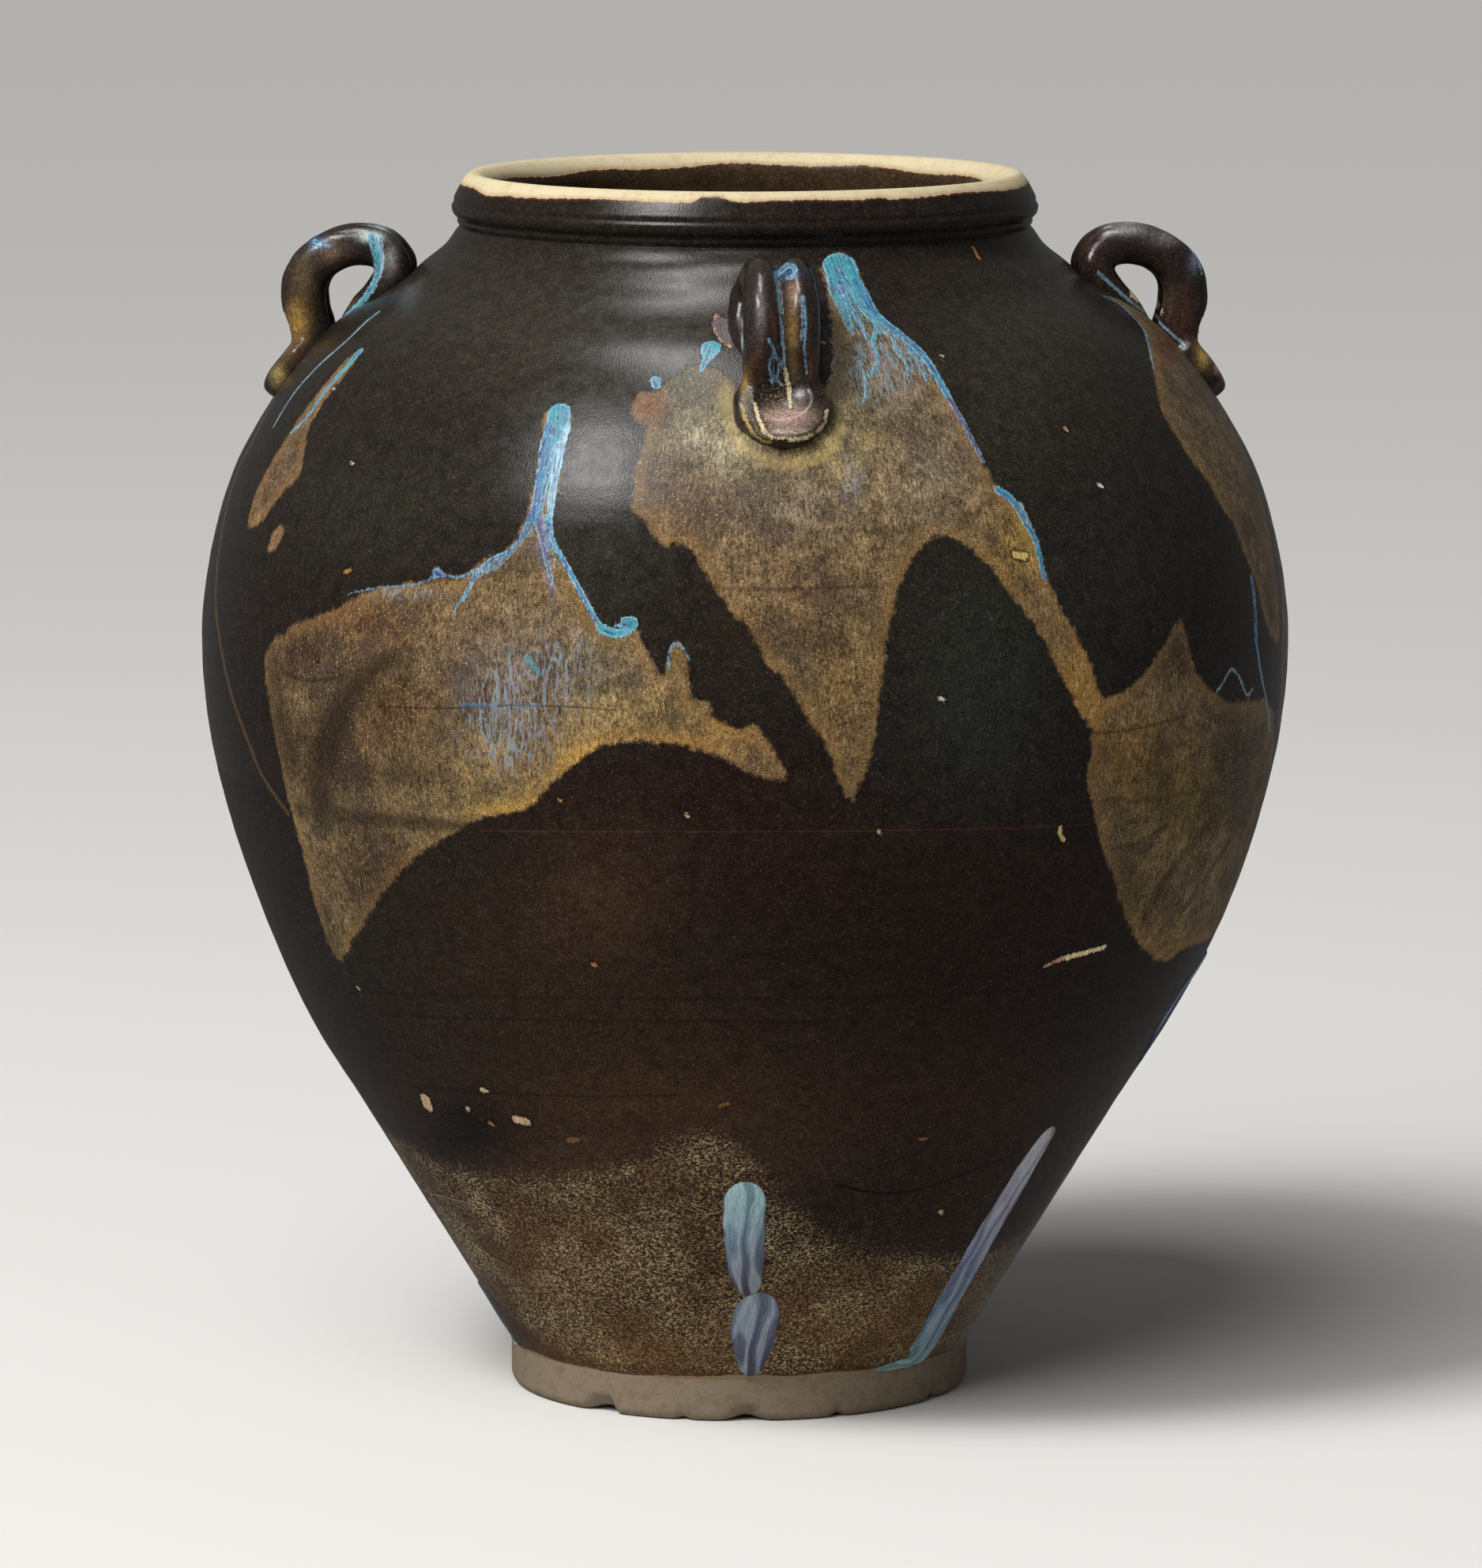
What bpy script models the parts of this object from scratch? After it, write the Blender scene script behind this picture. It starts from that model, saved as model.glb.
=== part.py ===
"""A stoneware storage jar: a thrown body luted from a base slab, two walls and a neck ring,
with a loop lug of two clay strands pressed on the shoulder at each quarter.

Metres, +Z up, origin at the centre of the foot's resting face, the front towards -Y.
"""

import math

import bmesh
import bpy
from mathutils import Matrix, Vector

# The turned body, from the foot up: radii from the axis, rises from the piece below
FOOT_RADIUS = 0.0726
FOOT_HEIGHT = 0.0134
FOOT_BEVEL = 0.0030
BELLY_RADIUS = 0.1716
BELLY_RISE = 0.2266
SHOULDER_RISE = 0.1160
NECK_RADIUS = 0.0896
NECK_RISE = 0.0122
NECK_FLARE = 0.0123
LIP_OVERHANG = 0.0026
LIP_WIDTH = 0.0127
LIP_RISE = 0.0168
WALL = 0.0085
INSIDE_FILLET = 0.0050

# The luted seam between the two thrown walls lies a little below the belly's widest line
SEAM_DROP = 0.0403
SEAM_CHAMFER = 0.0007

# A lug's strands are rolled to an oval. Its loop leaves the shoulder below the neck's joint,
# spans a length of the shoulder and is lifted clear of it.
LUG_DROP = 0.0106
LOOP_SPAN = 0.0340
LOOP_LIFT = 0.0187
STRAND_WIDTH = 0.0108
STRAND_THICKNESS = 0.0131
TAIL_SPREAD = 0.0052

# The pad is pressed round the strands' feet, and a thumb leaves its hollow in all three
PAD_WIDTH = 0.0302
PAD_LENGTH = 0.0300
PAD_THICKNESS = 0.0058
PAD_ROOT_DEPTH = 0.0080
THUMB_WIDTH = 0.0236
THUMB_LENGTH = 0.0225
THUMB_THICKNESS = 0.0170
THUMB_PRESS = 0.0028

# Pieces that touch keep this gap
SEAT_GAP = 0.0003
MERGE_DISTANCE = 0.00001

# Each lug's name and its turn about the axis, in degrees from +X
LUG_TURNS = (("front", -85.5), ("right", 6.0), ("back", 93.0), ("left", 176.0))
STRAND_SIDES = (("near", -1), ("far", 1))

# How finely the round forms are cut
TURN_STEPS = 60
OUTLINE_STEPS = 8
LOWER_RINGS = 12
UPPER_RINGS = 14
NECK_RINGS = 3
LIP_STEPS = 2
PATH_STEPS = 2
STRAND_RESOLUTION = 3
PAD_SEGMENTS = 16
PAD_RINGS = 8
SHARP_ANGLE = math.radians(35)

# Height and radius up the lower wall, as shares of the belly's rise and of its swell over the foot
LOWER_SHARES = (
    (0.000, 0.000), (0.073, 0.096), (0.206, 0.284), (0.338, 0.468), (0.470, 0.656),
    (0.603, 0.800), (0.735, 0.906), (0.868, 0.977), (1.000, 1.000),
)
# Height and drawing-in over the shoulder, as shares of its rise and of its way in from the belly
UPPER_SHARES = (
    (0.215, 0.041), (0.431, 0.141), (0.603, 0.291), (0.759, 0.480), (0.862, 0.661),
    (0.948, 0.892), (1.000, 1.000),
)
# Height and width round the rolled lip, as shares of its rise and of its way out from the mouth
LIP_SHARES = (
    (0.21, 0.95), (0.42, 1.00), (0.63, 0.88), (0.85, 0.72), (0.97, 0.58), (1.00, 0.46),
    (0.96, 0.27), (0.82, 0.09), (0.60, 0.00), (0.25, 0.01),
)
# Depth and drawing-in down the inside of the neck, as shares of its height and of its way out
NECK_INSIDE_SHARES = ((0.20, 0.96), (0.52, 0.70), (0.80, 0.36))

# A strand's path: down the shoulder as a share of the loop's span, how far it stands off the
# shoulder, how far it spreads to the side, and how thick it is there. The pressed tail stands
# off by shares of the strand's thickness, and the loop by shares of its lift.
TAIL_SHARES = ((0.62, -0.40, 0.95, 0.66), (0.37, -0.17, 1.00, 0.78), (0.15, -0.02, 1.00, 0.84))
LOOP_SHARES = (
    (-0.07, 0.19, 0.84, 0.86), (-0.11, 0.42, 0.50, 0.88), (-0.05, 0.68, 0.18, 0.94),
    (0.14, 0.90, 0.03, 0.99), (0.34, 1.00, 0.00, 1.02), (0.52, 0.98, 0.00, 1.05),
    (0.67, 0.81, 0.00, 1.08), (0.79, 0.49, 0.00, 1.08), (0.90, 0.14, 0.00, 1.08),
    (1.14, -0.42, 0.00, 1.08),
)

# The pad's middle along the loop's span, its shorter upper end, and how blunt its edge is
PAD_PLACE_SHARE = 1.16
PAD_UPPER_SHARE = 0.80
PAD_BLUNT_POWER = 0.36

# Radii and heights that follow from the steps and the rises
SHOULDER_RADIUS = NECK_RADIUS + NECK_FLARE
LIP_RADIUS = NECK_RADIUS + LIP_OVERHANG
MOUTH_RADIUS = LIP_RADIUS - LIP_WIDTH
BELLY_HEIGHT = FOOT_HEIGHT + BELLY_RISE
SHOULDER_HEIGHT = BELLY_HEIGHT + SHOULDER_RISE
NECK_HEIGHT = SHOULDER_HEIGHT + NECK_RISE
SEAM_HEIGHT = BELLY_HEIGHT - SEAM_DROP

BARE_CLAY = ("bare_stoneware", (0.52, 0.44, 0.34), 0.85)
DARK_GLAZE = ("black_brown_glaze", (0.035, 0.026, 0.021), 0.22)
BROWN_GLAZE = ("brown_glaze", (0.060, 0.034, 0.020), 0.26)
SPLASH_GLAZE = ("splashed_glaze", (0.160, 0.120, 0.055), 0.24)


def clear_scene():
    """Removes every object that the file opened with."""
    for item in list(bpy.data.objects):
        bpy.data.objects.remove(item, do_unlink=True)


def new_collection(name):
    """Makes a collection in the scene."""
    group = bpy.data.collections.new(name)
    bpy.context.scene.collection.children.link(group)
    return group


def finish_material(finish):
    """Makes the Principled material that a finish's name, colour and roughness describe."""
    name, colour, roughness = finish
    material = bpy.data.materials.get(name)
    if material is None:
        material = bpy.data.materials.new(name)
        material.use_nodes = True
        shader = material.node_tree.nodes["Principled BSDF"]
        shader.inputs["Base Color"].default_value = (*colour, 1.0)
        shader.inputs["Roughness"].default_value = roughness
        shader.inputs["Metallic"].default_value = 0.0
    return material


def smooth_through(points, steps):
    """Runs a Catmull-Rom curve through the points, with that many steps in each span."""
    ends = [2 * points[0] - points[1], *points, 2 * points[-1] - points[-2]]
    path = []
    for before, start, end, after in zip(ends, ends[1:], ends[2:], ends[3:]):
        for step in range(steps):
            t = step / steps
            path.append(
                start
                + (end - before) * (t / 2)
                + (2 * before - 5 * start + 4 * end - after) * (t * t / 2)
                + (3 * start - before - 3 * end + after) * (t * t * t / 2)
            )
    path.append(points[-1])
    return path


def normals(points):
    """Finds the outward normal at each point of an outline that runs upwards."""
    found = []
    for index in range(len(points)):
        before = points[max(index - 1, 0)]
        after = points[min(index + 1, len(points) - 1)]
        along = (after - before).normalized()
        found.append(Vector((along.y, -along.x)))
    return found


def body_outline():
    """Works out the outside of the body from the foot's top to the narrowest of the neck."""
    swell = BELLY_RADIUS - FOOT_RADIUS
    draw_in = BELLY_RADIUS - SHOULDER_RADIUS
    keys = [
        Vector((FOOT_RADIUS + swell * out, FOOT_HEIGHT + BELLY_RISE * up))
        for up, out in LOWER_SHARES
    ]
    keys += [
        Vector((BELLY_RADIUS - draw_in * back, BELLY_HEIGHT + SHOULDER_RISE * up))
        for up, back in UPPER_SHARES
    ]
    keys.append(Vector((NECK_RADIUS, NECK_HEIGHT)))
    return smooth_through(keys, OUTLINE_STEPS)


def lengths_along(points):
    """Measures how far each point of an outline lies along it from the first."""
    lengths = [0.0]
    for a, b in zip(points, points[1:]):
        lengths.append(lengths[-1] + (b - a).length)
    return lengths


OUTLINE = body_outline()
OUTLINE_NORMALS = normals(OUTLINE)
OUTLINE_LENGTHS = lengths_along(OUTLINE)


def distance_at_height(height):
    """Measures along the body's outline to where it reaches a height."""
    index = 0
    while index < len(OUTLINE) - 2 and OUTLINE[index + 1].y < height:
        index += 1
    a, b = OUTLINE[index], OUTLINE[index + 1]
    return OUTLINE_LENGTHS[index] + (b - a).length * (height - a.y) / (b.y - a.y)


SEAM_AT = distance_at_height(SEAM_HEIGHT)
SHOULDER_AT = distance_at_height(SHOULDER_HEIGHT)
NECK_AT = distance_at_height(NECK_HEIGHT)
LUG_AT = SHOULDER_AT - LUG_DROP


def outline_at(distance):
    """Finds the point of the body's outline at a distance along it, and its outward normal."""
    index = 0
    while index < len(OUTLINE) - 2 and OUTLINE_LENGTHS[index + 1] < distance:
        index += 1
    span = OUTLINE_LENGTHS[index + 1] - OUTLINE_LENGTHS[index]
    part = (distance - OUTLINE_LENGTHS[index]) / span
    point = OUTLINE[index].lerp(OUTLINE[index + 1], part)
    return point, OUTLINE_NORMALS[index].lerp(OUTLINE_NORMALS[index + 1], part)


def stretch(start, end, count, depth=0.0):
    """Spaces count + 1 points evenly along the body's outline, that deep under its outside."""
    spaced = []
    for step in range(count + 1):
        point, normal = outline_at(start + (end - start) * step / count)
        spaced.append(point - normal * depth)
    return spaced


def add_object(name, mesh, group, finish=None):
    """Links a mesh as a named object, with a material or as a hidden cutter."""
    piece = bpy.data.objects.new(name, mesh)
    group.objects.link(piece)
    if finish is None:
        piece.hide_render = True
        piece.display_type = "WIRE"
    else:
        mesh.materials.append(finish_material(finish))
    return piece


def turn(name, outline, closed, group, finish=None):
    """Turns an outline, which runs down its outer side, into a round solid."""
    mesh = bpy.data.meshes.new(name)
    count = len(outline)
    edges = [(index, index + 1) for index in range(count - 1)]
    if closed:
        edges.append((count - 1, 0))
    mesh.from_pydata([(point.x, 0.0, point.y) for point in outline], edges, [])
    piece = add_object(name, mesh, group, finish)
    screw = piece.modifiers.new("turn", "SCREW")
    screw.axis = "Z"
    screw.angle = math.tau
    screw.steps = TURN_STEPS
    screw.render_steps = TURN_STEPS
    screw.use_merge_vertices = True
    screw.merge_threshold = MERGE_DISTANCE
    screw.use_smooth_shade = True
    return piece


def cut(piece, cutter):
    """Takes a cutter's space out of a piece."""
    tool = piece.modifiers.new("cut " + cutter.name, "BOOLEAN")
    tool.operation = "DIFFERENCE"
    tool.object = cutter


def chamfered_end(outer, inner_point):
    """Draws the outline's last outer point back from the seam and in towards the wall's middle."""
    end = outer[-1]
    back = (outer[-2] - end).normalized() * SEAM_CHAMFER
    inwards = (inner_point - end).normalized() * SEAM_CHAMFER
    return [*outer[:-1], end + back, end + inwards]


def build_base_slab(group):
    """The slab is the jar's floor and its bare foot, with a bevelled lower edge."""
    outline = [
        Vector((0.0, FOOT_HEIGHT)),
        Vector((FOOT_RADIUS, FOOT_HEIGHT)),
        Vector((FOOT_RADIUS, FOOT_HEIGHT / 2)),
        Vector((FOOT_RADIUS, FOOT_BEVEL)),
        Vector((FOOT_RADIUS - FOOT_BEVEL, 0.0)),
        Vector((0.0, 0.0)),
    ]
    return turn("base_slab", outline, False, group, BARE_CLAY)


def build_lower_wall(group):
    """The lower wall stands on the slab and flares up to the luted seam."""
    end = SEAM_AT - SEAT_GAP / 2
    outer = stretch(SEAT_GAP, end, LOWER_RINGS)
    inside = stretch(SEAT_GAP, end, LOWER_RINGS, WALL)
    floor = FOOT_HEIGHT + SEAT_GAP
    outer[0] = Vector((outer[0].x, floor))
    fillet_top = floor + INSIDE_FILLET
    above = [point for point in inside if point.y > fillet_top + INSIDE_FILLET / 2]
    first, second = above[0], above[1]
    slope = (second.x - first.x) / (second.y - first.y)
    foot_of_wall = first.x - slope * (first.y - fillet_top)
    corner = [
        Vector((foot_of_wall - INSIDE_FILLET, floor)),
        Vector((foot_of_wall - INSIDE_FILLET / 4, floor + INSIDE_FILLET / 4)),
        Vector((foot_of_wall, fillet_top)),
    ]
    thinned = above[:-1:2] + [above[-1]]
    rising = chamfered_end(outer, inside[-1])
    outline = list(reversed(rising)) + corner + thinned
    return turn("lower_wall", outline, True, group, BROWN_GLAZE)


def build_upper_wall(group):
    """The upper wall carries on from the seam, over the belly and in to the neck."""
    start = SEAM_AT + SEAT_GAP / 2
    end = SHOULDER_AT - SEAT_GAP / 2
    outer = stretch(start, end, UPPER_RINGS)
    inside = stretch(start, end, UPPER_RINGS, WALL)
    falling = chamfered_end(list(reversed(outer)), inside[0])
    thinned = inside[:-1:2] + [inside[-1]]
    return turn("upper_wall", falling + thinned, True, group, SPLASH_GLAZE)


def build_neck_ring(group):
    """The neck ring sits on the upper wall and is rolled over outwards into the lip."""
    start = SHOULDER_AT + SEAT_GAP / 2
    neck = stretch(start, NECK_AT, NECK_RINGS)
    lip_width = LIP_RADIUS - MOUTH_RADIUS
    lip_keys = [neck[-1]]
    lip_keys += [
        Vector((MOUTH_RADIUS + lip_width * out, NECK_HEIGHT + LIP_RISE * up))
        for up, out in LIP_SHARES
    ]
    seat = stretch(start, NECK_AT, NECK_RINGS, WALL)[0]
    throat = lip_keys[-1]
    inside_keys = [throat]
    inside_keys += [
        Vector((seat.x + (throat.x - seat.x) * back, throat.y + (seat.y - throat.y) * down))
        for down, back in NECK_INSIDE_SHARES
    ]
    inside_keys.append(seat)
    rising = neck[:-1] + smooth_through(lip_keys, LIP_STEPS)[:-1] + inside_keys
    return turn("neck_ring", list(reversed(rising)), True, group, DARK_GLAZE)


def build_shoulder_cutter(group):
    """The cutter fills the body out to one seat gap past its outside, and trims the lugs to it."""
    start = SEAM_AT + SEAT_GAP / 2
    rising = stretch(start, SHOULDER_AT - SEAT_GAP / 2, UPPER_RINGS, -SEAT_GAP)
    rising += stretch(SHOULDER_AT + SEAT_GAP / 2, NECK_AT, NECK_RINGS, -SEAT_GAP)
    skin = list(reversed(rising))
    top = Vector((0.0, skin[0].y))
    bottom = Vector((0.0, skin[-1].y))
    return turn("shoulder_cutter", [top, *skin, bottom], False, group)


def strand_path(side):
    """Lays out a strand's middle line in the lug's own plane: outwards, sideways and up."""
    path = []
    for table, height in ((TAIL_SHARES, STRAND_THICKNESS), (LOOP_SHARES, LOOP_LIFT)):
        for down, off, out, girth in table:
            seat, normal = outline_at(LUG_AT - LOOP_SPAN * down)
            place = seat + normal * (height * off)
            aside = (STRAND_WIDTH * girth + SEAT_GAP) / 2 + TAIL_SPREAD * out
            path.append(Vector((place.x, side * aside, place.y, girth)))
    return smooth_through(path, PATH_STEPS)


def build_strand(name, side, growth, group, finish=None):
    """Sweeps one strand of a lug as a tube, then presses it narrower than it is thick."""
    squeeze = STRAND_WIDTH / STRAND_THICKNESS
    path = strand_path(side)
    data = bpy.data.curves.new(name, "CURVE")
    data.dimensions = "3D"
    data.bevel_depth = STRAND_THICKNESS / 2 + growth
    data.bevel_resolution = STRAND_RESOLUTION
    data.use_fill_caps = True
    spline = data.splines.new("POLY")
    spline.points.add(len(path) - 1)
    for point, place in zip(spline.points, path):
        point.co = (place.x, place.y / squeeze, place.z, 1.0)
        point.radius = place.w
    tube = bpy.data.objects.new(name + " path", data)
    group.objects.link(tube)
    bpy.context.view_layer.update()
    solid = tube.evaluated_get(bpy.context.evaluated_depsgraph_get())
    mesh = bpy.data.meshes.new_from_object(solid)
    mesh.name = name
    shell = bmesh.new()
    shell.from_mesh(mesh)
    bmesh.ops.remove_doubles(shell, verts=shell.verts, dist=MERGE_DISTANCE)
    shell.to_mesh(mesh)
    shell.free()
    mesh.transform(Matrix.Scale(squeeze, 4, Vector((0, 1, 0))))
    piece = add_object(name, mesh, group, finish)
    piece.matrix_world = tube.matrix_world
    bpy.data.objects.remove(tube, do_unlink=True)
    mesh.shade_smooth()
    mesh.set_sharp_from_angle(angle=SHARP_ANGLE)
    return piece


def pad_seat():
    """Finds where the pad sits: its middle, and its ways down the slope, across and outwards."""
    middle_at = LUG_AT - LOOP_SPAN * PAD_PLACE_SHARE
    middle = outline_at(middle_at)[0]
    slope = outline_at(middle_at - PAD_LENGTH / 2)[0] - outline_at(middle_at + PAD_LENGTH / 2)[0]
    down = Vector((slope.x, 0.0, slope.y)).normalized()
    across = Vector((0.0, 1.0, 0.0))
    return Vector((middle.x, 0.0, middle.y)), down, across, down.cross(across)


def build_ball(name, shape, group, finish=None):
    """Makes a ball and moves each of its points to where a function of the unit ball says."""
    mesh = bpy.data.meshes.new(name)
    ball = bmesh.new()
    bmesh.ops.create_uvsphere(ball, u_segments=PAD_SEGMENTS, v_segments=PAD_RINGS, radius=1.0)
    for corner in ball.verts:
        corner.co = shape(*corner.co)
    ball.to_mesh(mesh)
    ball.free()
    mesh.shade_smooth()
    mesh.set_sharp_from_angle(angle=SHARP_ANGLE)
    return add_object(name, mesh, group, finish)


def build_pad(name, group, finish):
    """Flattens a ball of clay into the tongue that holds the strands' feet to the shoulder."""
    centre, down, across, outwards = pad_seat()

    def tongue(x, y, z):
        length = PAD_LENGTH / 2 * (1.0 if x > 0 else PAD_UPPER_SHARE)
        lift = PAD_THICKNESS * z ** PAD_BLUNT_POWER if z > 0 else PAD_ROOT_DEPTH * z
        return centre + down * (x * length) + across * (y * PAD_WIDTH / 2) + outwards * lift

    return build_ball(name, tongue, group, finish)


def build_thumb(name, group):
    """Shapes the thumb whose print hollows the pad and the strands' feet."""
    centre, down, across, outwards = pad_seat()
    middle = centre + outwards * (PAD_THICKNESS - THUMB_PRESS + THUMB_THICKNESS / 2)

    def thumb(x, y, z):
        return (
            middle
            + down * (x * THUMB_LENGTH / 2)
            + across * (y * THUMB_WIDTH / 2)
            + outwards * (z * THUMB_THICKNESS / 2)
        )

    return build_ball(name, thumb, group)


def build_lug(name, turn_degrees, shoulder_cutter, parts, cutters):
    """A lug is two strands looped side by side and the pad that is pressed round their feet.

    The pad is cut clear of each strand and of the groove between them.
    """
    hub = bpy.data.objects.new(name + "_lug", None)
    parts.objects.link(hub)
    hub.rotation_euler.z = math.radians(turn_degrees)
    thumb = build_thumb(name + "_thumb", cutters)
    thumb.parent = hub
    pad = build_pad(name + "_lug_pad", parts, SPLASH_GLAZE)
    pad.parent = hub
    cut(pad, shoulder_cutter)
    for side_name, side in STRAND_SIDES:
        label = f"{name}_lug_{side_name}_strand"
        strand = build_strand(label, side, 0.0, parts, DARK_GLAZE)
        strand.parent = hub
        cut(strand, shoulder_cutter)
        cut(strand, thumb)
        room = build_strand(label + " room", side, SEAT_GAP, cutters)
        room.parent = hub
        cut(pad, room)
    groove = build_strand(name + "_lug groove", 0, SEAT_GAP, cutters)
    groove.parent = hub
    cut(pad, groove)
    cut(pad, thumb)


def main():
    """Builds the jar."""
    clear_scene()
    parts = new_collection("stoneware_jar")
    cutters = new_collection("cutters")
    shoulder_cutter = build_shoulder_cutter(cutters)
    build_base_slab(parts)
    build_lower_wall(parts)
    build_upper_wall(parts)
    build_neck_ring(parts)
    for name, turn_degrees in LUG_TURNS:
        build_lug(name, turn_degrees, shoulder_cutter, parts, cutters)


main()
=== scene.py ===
"""The looks of a glazed stoneware storage jar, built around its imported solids.

Metres, +Z up, the front towards -Y. The thrown walls, the four lugs and the glaze runs are
modelled meshes, and every finish is a procedural material that reads attributes painted on
them here: which glaze lies where, in millimetres from its edge, and its tone.
"""

import logging
import math
from collections.abc import Callable, Sequence
from dataclasses import dataclass, field, fields
from enum import Enum
from functools import partial

import bmesh
import bpy
import numpy as np
from bpy.types import ID, GeometryNodeTree, Material, Mesh, Node, NodeSocket, NodeTree, Object
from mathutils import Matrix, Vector


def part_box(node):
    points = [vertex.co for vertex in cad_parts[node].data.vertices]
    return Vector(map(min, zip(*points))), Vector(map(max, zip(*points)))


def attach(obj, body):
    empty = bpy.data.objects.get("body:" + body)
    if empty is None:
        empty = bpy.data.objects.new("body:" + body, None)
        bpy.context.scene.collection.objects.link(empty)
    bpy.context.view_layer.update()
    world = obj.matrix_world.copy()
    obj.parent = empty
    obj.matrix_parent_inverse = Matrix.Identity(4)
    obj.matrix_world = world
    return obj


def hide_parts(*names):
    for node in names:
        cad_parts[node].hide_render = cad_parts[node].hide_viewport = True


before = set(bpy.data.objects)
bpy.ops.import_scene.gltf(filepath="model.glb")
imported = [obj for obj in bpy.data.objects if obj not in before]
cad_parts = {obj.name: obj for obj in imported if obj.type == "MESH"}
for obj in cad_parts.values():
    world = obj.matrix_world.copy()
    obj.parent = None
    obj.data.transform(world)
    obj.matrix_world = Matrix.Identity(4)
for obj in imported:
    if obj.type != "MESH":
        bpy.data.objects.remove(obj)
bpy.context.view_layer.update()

LOG = logging.getLogger("stoneware_jar")
MM = 0.001
FAR = 12.0

Adder = Callable[..., Node]
Array = np.ndarray
Pair = tuple[float, float]
Pairs = tuple[Pair, ...]
Place = tuple[float, float, float]
Rows = tuple[tuple[float, ...], ...]


def linear(code: str) -> tuple[float, float, float, float]:
    """Turns an sRGB hex colour, such as "#6b4f2a", into linear red, green, blue and a full alpha."""
    values = [int(code[start:start + 2], 16) / 255 for start in (1, 3, 5)]
    return *(v / 12.92 if v <= 0.04045 else ((v + 0.055) / 1.055) ** 2.4 for v in values), 1.0


MATHS, VECTORS, WHOLE = "ShaderNodeMath", "ShaderNodeVectorMath", "FunctionNodeIntegerMath"
NOISE, BLEND, RANGE = "ShaderNodeTexNoise", "ShaderNodeMix", "ShaderNodeMapRange"
PAINTED, PARTS, JOINED = "ShaderNodeAttribute", "ShaderNodeSeparateXYZ", "ShaderNodeCombineXYZ"
ADD, SUBTRACT, MULTIPLY, DIVIDE, LOWER, HIGHER, LENGTH, FOLLOW, SCALED = (
    {"operation": name} for name in (
        "ADD", "SUBTRACT", "MULTIPLY", "DIVIDE", "MINIMUM", "MAXIMUM", "LENGTH", "MULTIPLY_ADD", "SCALE",
    )
)
COLOURS = {"data_type": "RGBA"}
TINTED = {"data_type": "RGBA", "blend_type": "MULTIPLY"}
SMOOTH = {"interpolation_type": "SMOOTHSTEP"}
SEEDED = {"noise_dimensions": "4D"}


def add_node(tree: NodeTree, kind: str, links: dict | Sequence = (), settings: dict | None = None) -> Node:
    """Adds a node, sets its properties, and fills or links its inputs.

    Args:
        tree: The node tree.
        kind: The node's type.
        links: Inputs by name or place, or in a row from the first: each a value, another node
            or one of its outputs.
        settings: Properties by name.

    Returns:
        The node.
    """
    node = tree.nodes.new(kind)
    for name, value in (settings or {}).items():
        setattr(node, name, value)
    for place, value in links.items() if isinstance(links, dict) else enumerate(links):
        socket = node.inputs[place]
        if isinstance(value, Node):
            value = next(output for output in value.outputs if output.enabled)
        if isinstance(value, NodeSocket):
            tree.links.new(value, socket)
        else:
            socket.default_value = value
    return node


def new_material(name: str) -> tuple[Material, Adder]:
    """Starts an empty material.

    Args:
        name: Its name.

    Returns:
        The material, and what adds a node to it.
    """
    material = bpy.data.materials.new(name)
    material.use_nodes = True
    material.node_tree.nodes.clear()
    return material, partial(add_node, material.node_tree)


def dress(add: Adder, colour: Node, height: Node, rough: Node | float, shine: float) -> None:
    """Ends a glaze's material with its relief and its gloss.

    Args:
        add: Adds a node.
        colour: The surface's colour.
        height: The relief in millimetres.
        rough: The roughness.
        shine: The specular level.
    """
    bump = add("ShaderNodeBump", {"Strength": 1.0, "Distance": MM, "Height": height})
    shader = add("ShaderNodeBsdfPrincipled", {
        "Base Color": colour, "Roughness": rough, "Normal": bump, "Specular IOR Level": shine, "IOR": 1.5,
    })
    add("ShaderNodeOutputMaterial", {"Surface": shader})


def shaded(add: Adder, tone: Node, *shades: tuple) -> Node:
    """Darkens and lightens a tone by noises.

    Args:
        add: Adds a node.
        tone: The colour below.
        shades: For each its noise, the noise's low and high, and the factors there.

    Returns:
        The shaded colour.
    """
    for shade in shades:
        tone = add(BLEND, {0: 1.0, 6: tone, 7: add(RANGE, shade)}, TINTED)
    return tone


def layered(add: Adder, tone: Node | tuple, *layers: tuple) -> Node:
    """Lays colours over a tone.

    Args:
        add: Adds a node.
        tone: The colour below.
        layers: For each its noise, where the layer starts and where it is full, its cover there,
            and its colour, as a node or a hex code.

    Returns:
        The colour on top.
    """
    for noise, low, high, most, colour in layers:
        cover = add(RANGE, (noise, low, high, 0.0, most), SMOOTH)
        top = linear(colour) if isinstance(colour, str) else colour
        tone = add(BLEND, {0: cover, 6: tone, 7: top}, COLOURS)
    return tone


def smooth_through(keys: Array, steps: int, closed: bool = False) -> Array:
    """Runs a Catmull-Rom curve through the keys.

    Args:
        keys: The points, one a row.
        steps: How many steps each span takes.
        closed: Whether the curve ends where it starts.

    Returns:
        The curve's points.
    """
    if closed:
        keys = np.vstack([keys, keys[:1]])
        ends = np.vstack([keys[-2:-1], keys, keys[1:2]])
    else:
        ends = np.vstack([2 * keys[:1] - keys[1:2], keys, 2 * keys[-1:] - keys[-2:-1]])
    before, start, end, after = (ends[first:len(ends) - 3 + first, None] for first in range(4))
    t = np.arange(steps)[None, :, None] / steps
    curve = (
        start
        + (end - before) * (t / 2)
        + (2 * before - 5 * start + 4 * end - after) * (t * t / 2)
        + (3 * start - before - 3 * end + after) * (t * t * t / 2)
    )
    return np.vstack([curve.reshape(-1, keys.shape[1]), keys[-1:]])


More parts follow.
